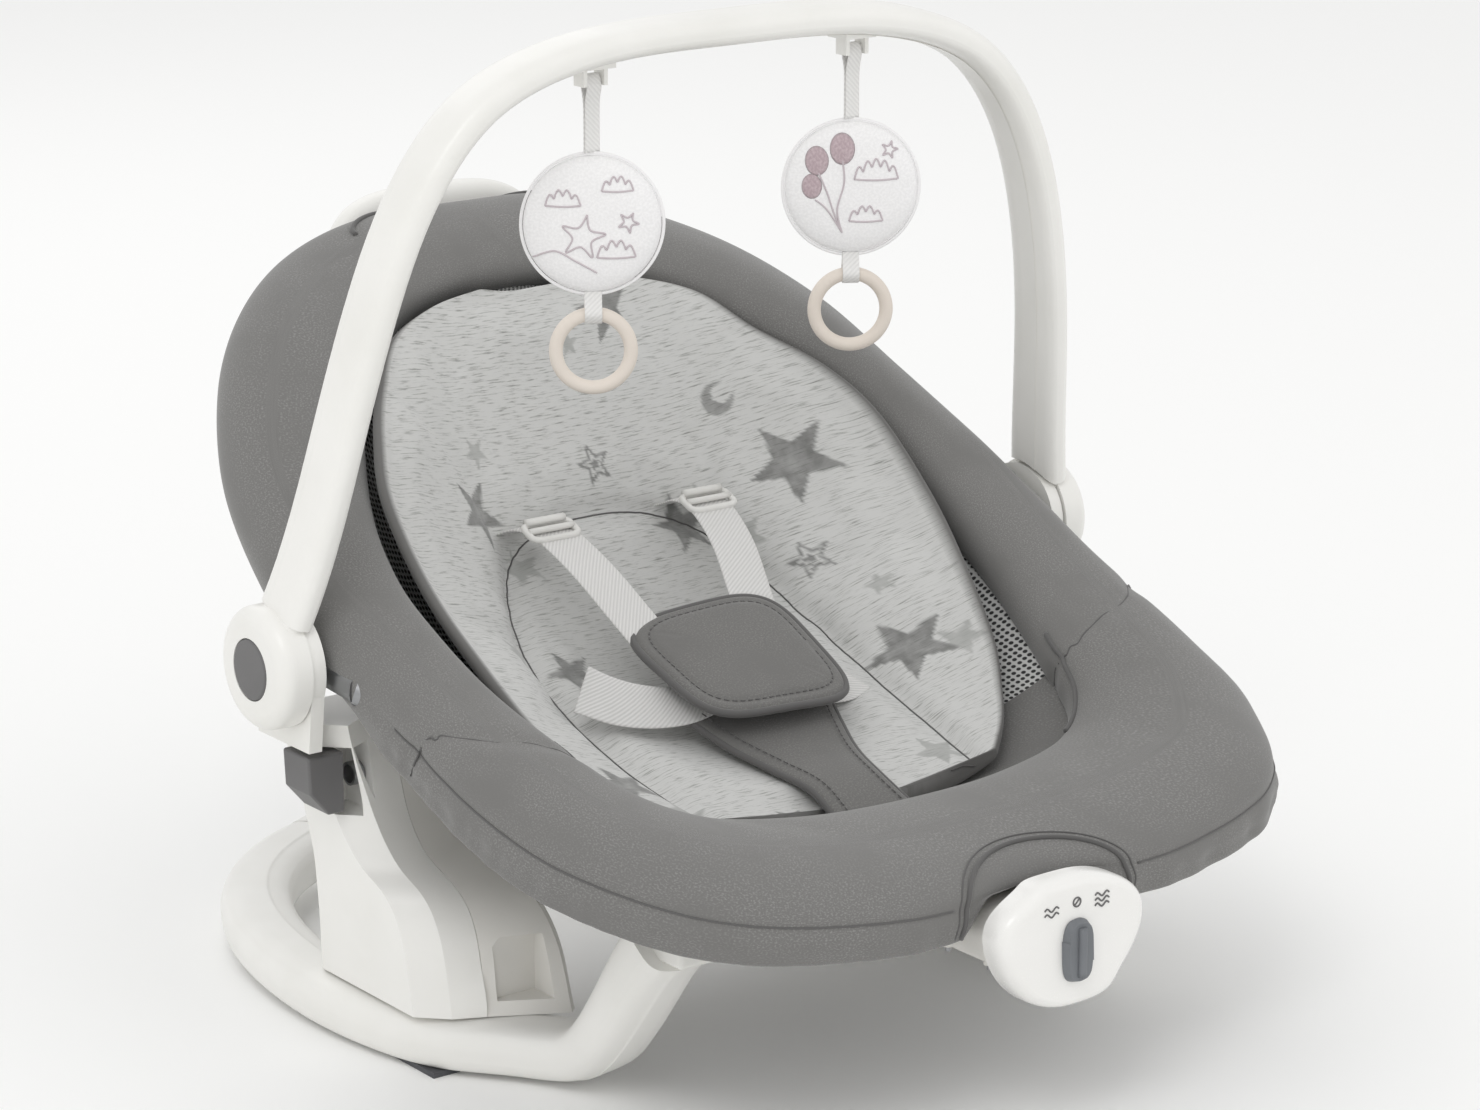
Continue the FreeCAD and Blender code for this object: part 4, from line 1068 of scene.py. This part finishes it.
# %% [markdown]
# ## Hanging toys
# A toy is a flat round cushion, sewn round its edge. It hangs turned a little to one side. Its front
# carries embroidery: clouds and a star on one, balloons on the other.
# %% Toy cushions
TOY_X, TOY_Z, TOY_R = 93 * MM, 472 * MM, 40.3 * MM
TOY_YAW = radians(-32)
TOY_RIGHTWARD = Vector((cos(TOY_YAW), sin(TOY_YAW), 0))
TOY_FORWARD = Vector((sin(TOY_YAW), -cos(TOY_YAW), 0))


def on_toy(sign, x, z, out=0.0):
    """Toy coordinates, seen from its front, to the seat's."""
    return Vector((sign * TOY_X, 0, TOY_Z)) + TOY_RIGHTWARD * x + Vector((0, 0, z)) + TOY_FORWARD * out


def cushion(sign, word):
    rows, flat, sewn = [], [], []
    rings = np.linspace(0.03, 1.0, 16)
    for side, order in ((1, rings), (-1, rings[::-1][1:])):
        for share in order:
            half = 9 * MM * (1 - share ** 3.5) ** 0.6
            turns = np.linspace(0, 2 * pi, 60, endpoint=False)
            rows.append([on_toy(sign, TOY_R * share * cos(a), TOY_R * share * sin(a), side * half)
                         for a in turns])
            flat.append([(TOY_R * share * cos(a), TOY_R * share * sin(a)) for a in turns])
            sewn.append([1.0 if share > 0.98 else 0.0] * 60)
    piece = grid_piece("toy_cushion_" + word, rows, plush, flat, close_columns=True, caps=True)
    swell(piece, np.array(sewn).ravel(), pressure=3.5, cap=3 * MM)
    co = points_of(piece)
    for k, p in enumerate(co):
        co[k] = p + 0.35 * MM * noise.noise(Vector(tuple(p * 90))) * np.array(TOY_FORWARD)
    set_points(piece, co)
    subdivided(piece)
    return piece


def cloud(x, z, width, bumps=4):
    """A cloud's outline: humps on a nearly flat base."""
    top = [(x + width * (f - 0.5), z + width * (0.20 * abs(sin(pi * bumps * f)) + 0.26 * sin(pi * f)))
           for f in np.linspace(0, 1, 40)]
    base = [(x + width * (0.5 - f), z - 0.03 * width * sin(pi * f)) for f in np.linspace(0, 1, 12)]
    return top + base[1:]


def star_outline(x, z, radius, turn=0.0):
    return [(x + r * sin(a + turn), z + r * cos(a + turn)) for k in range(11)
            for a, r in [(k * pi / 5, radius if k % 2 == 0 else radius * 0.45)]]


MOTIFS = {
    "left": [cloud(-17, 12, 20), cloud(14, 20, 18), cloud(13, -18, 22), star_outline(-6, -6, 13, 0.2),
             star_outline(20, 2, 6, 0.5), [(-34, -18), (-22, -14), (-10, -20), (2, -27)]],
    "right": [cloud(14, 6, 26, 5), cloud(8, -19, 20), star_outline(22, 23, 5, 0.3),
              [(-6, 18), (-5, 4), (-9, -12), (-6, -26)], [(-20, 10), (-15, -2), (-11, -14), (-6, -26)],
              [(-22, -6), (-15, -12), (-6, -26)]],
}
BALLOONS = [(-6, 24, 7.5), (-21, 17, 7.0), (-24, 2, 6.0)]


def embroider(sign, word, piece):
    tree = BVHTree.FromObject(piece, bpy.context.evaluated_depsgraph_get())

    def on_front(x, z, lift):
        place = tree.ray_cast(on_toy(sign, x * MM, z * MM, 0.05), -TOY_FORWARD)[0]
        return (place if place is not None else on_toy(sign, x * MM, z * MM, 9 * MM)) + TOY_FORWARD * lift
    threads = []
    for outline in MOTIFS[word]:
        dense = along([(x, 0, z) for x, z in outline], 110)
        threads.append(tube_piece("thread", [on_front(x, z, 0.2 * MM) for x, _, z in dense], 0.55 * MM,
                                  thread_lilac, sides=6))
    parts = [joined(threads, "embroidery_" + word)]
    if word == "right":
        felts = []
        turns = np.linspace(0, 2 * pi, 28, endpoint=False)
        for x, z, r in BALLOONS:
            rows = [[on_front(x + r * s * cos(a), z + 1.25 * r * s * sin(a),
                              0.9 * MM * (1 - s ** 4) + 0.05 * MM) for a in turns]
                    for s in np.linspace(0.05, 1, 7)]
            flat = [[(r * s * cos(a) * MM, r * s * sin(a) * MM) for a in turns]
                    for s in np.linspace(0.05, 1, 7)]
            felts.append(grid_piece("felt", rows, balloon_plush, flat, close_columns=True, caps=True))
        parts.append(joined(felts, "balloons_right"))
    return parts


toys = {}
for sign, word in ((1, "right"), (-1, "left")):
    piece = cushion(sign, word)
    seam_line = [on_toy(sign, (TOY_R + 0.3 * MM) * cos(a), (TOY_R + 0.3 * MM) * sin(a))
                 for a in np.linspace(0, 2 * pi, 90, endpoint=False)]
    seam = tube_piece("toy_seam_" + word, seam_line, 1.0 * MM, plush, closed=True)
    toys[word] = [piece, seam] + embroider(sign, word, piece)

# %% [markdown]
# The ribbons are satin tape: the upper one is looped over the clip's pin, and the lower one round
# the teether ring.
# %% Ribbons
RIBBON = (10 * MM, 1.0 * MM)
EYE_Z, RING_TOP = 555.0, 419.7
ribbons = {}
for sign, word in ((1, "right"), (-1, "left")):
    x = sign * TOY_X / MM
    upper = [(x, -0.8, 513), (x, -0.9, 540), (x, -2.9, 551), (x, 0, EYE_Z + 2.6), (x, 2.9, 551),
             (x, 0.9, 540), (x, 0.8, 513)]
    profile = [(-0.9, 433), (-2.2, 427), (-5.4, RING_TOP), (0, RING_TOP - 5.3), (5.4, RING_TOP), (2.2, 427),
               (0.9, 433)]
    lower = [tuple(Vector((x, 0, z)) - TOY_FORWARD * out) for out, z in profile]
    ribbons[word] = [strap("ribbon_upper_" + word, upper, RIBBON, ribbon_weave, count=48),
                     strap("ribbon_lower_" + word, lower, RIBBON, ribbon_weave, tuple(TOY_RIGHTWARD),
                           count=48)]

# %% [markdown]
# ## Marks on the vibration unit
# The knob's settings are shown by plain signs: a gentle wave, a zero and a stronger wave. They are
# raised lines, as pad printing would be too thin to keep as a mesh.
# %% Signs
SIGN_Y, SIGN_Z = -321.55 * MM, 136.5 * MM


def wave(x, z, width, height=1.1 * MM):
    return [(x + width * (f - 0.5), SIGN_Y, z + height * sin(2 * pi * f * 1.5))
            for f in np.linspace(0, 1, 24)]


signs = []
# Place, lowest line, number of lines, gap between them and thickness: the gentle and the strong wave.
for x, down, lines, gap, thick in ((-18 * MM, 3 * MM, 2, 3.2 * MM, 0.5 * MM),
                                   (18 * MM, 4 * MM, 3, 3.0 * MM, 0.55 * MM)):
    signs += [tube_piece("line", wave(x, SIGN_Z - down + k * gap, 10 * MM), thick, grey_abs, sides=6)
              for k in range(lines)]
zero = [(2.6 * MM * cos(a), SIGN_Y, SIGN_Z + 1 * MM + 2.6 * MM * sin(a))
        for a in np.linspace(0, 2 * pi, 28, endpoint=False)]
signs.append(tube_piece("line", zero, 0.5 * MM, grey_abs, closed=True, sides=6))
signs.append(tube_piece("line", [(k * 1.8 * MM, SIGN_Y, SIGN_Z + 1 * MM + k * 1.8 * MM) for k in (-1, 0, 1)],
                        0.45 * MM, grey_abs, sides=6))
unit_signs = joined(signs, "unit_signs")
KNOB_RIDGE = [(0, -327.2, 110 + z) for z in np.linspace(-14, 14, 9)]
knob_ridge = tube_piece("knob_ridge", np.array(KNOB_RIDGE) * MM, 2.6 * MM, knob_abs, sides=12)

# %% [markdown]
# ## The floor, and which body each piece moves with
# Fabric over the recline hinge is given to neither the base nor the backrest, and stays where it is
# made. Everything else rides on one body.
# %% Floor and bodies
floor_mesh = bpy.data.meshes.new("floor")
FLOOR_HALF = 6.0
floor_corners = [(FLOOR_HALF * x, FLOOR_HALF * y, 0) for x, y in ((-1, -1), (1, -1), (1, 1), (-1, 1))]
floor_mesh.from_pydata(floor_corners, [], [(0, 1, 2, 3)])
floor_material, _ = new_material("pale studio floor", "#fbfbfa", 0.9)
floor_mesh.materials.append(floor_material)
floor = bpy.data.objects.new("floor", floor_mesh)
bpy.context.scene.collection.objects.link(floor)

for piece, nodes, slot_name in ((rim_cover, ("rim_pad_back", "rim_pad_front"), "dark_fabric"),
                                (insert_cover, ("insert_back", "insert_seat"), "light_fabric"),
                                (sling, ("sling_back", "sling_seat"), "mesh_fabric")):
    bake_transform(piece)
    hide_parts(*nodes)

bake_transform(arch_seam)
for piece in shoulder_straps:
    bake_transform(piece)
for piece, word in zip(shoulder_straps, ("right", "left")):
    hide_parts("shoulder_strap_" + word)
for piece, word in zip(waist_straps, ("right", "left")):
    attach(piece, BASE)
    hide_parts("waist_strap_" + word)
for piece, word in zip(adjusters, ("right", "left")):
    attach(piece, BACK)
    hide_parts("adjuster_" + word)

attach(belly_pad, BASE)
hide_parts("belly_pad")
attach(crotch_pad, BASE)
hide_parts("crotch_pad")
for piece in [belly_binding, belly_stitch, unit_piping, unit_stitch] + crotch_trim + pipings[3:]:
    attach(piece, BASE)
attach(head_piping, BACK)

for word in ("left", "right"):
    for piece in toys[word]:
        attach(piece, "toy_" + word)
    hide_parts("toy_disc_" + word)
    for piece in ribbons[word]:
        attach(piece, "toy_" + word)
        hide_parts("ribbon_" + word)
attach(unit_signs, BASE)
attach(knob_ridge, "mode_knob")
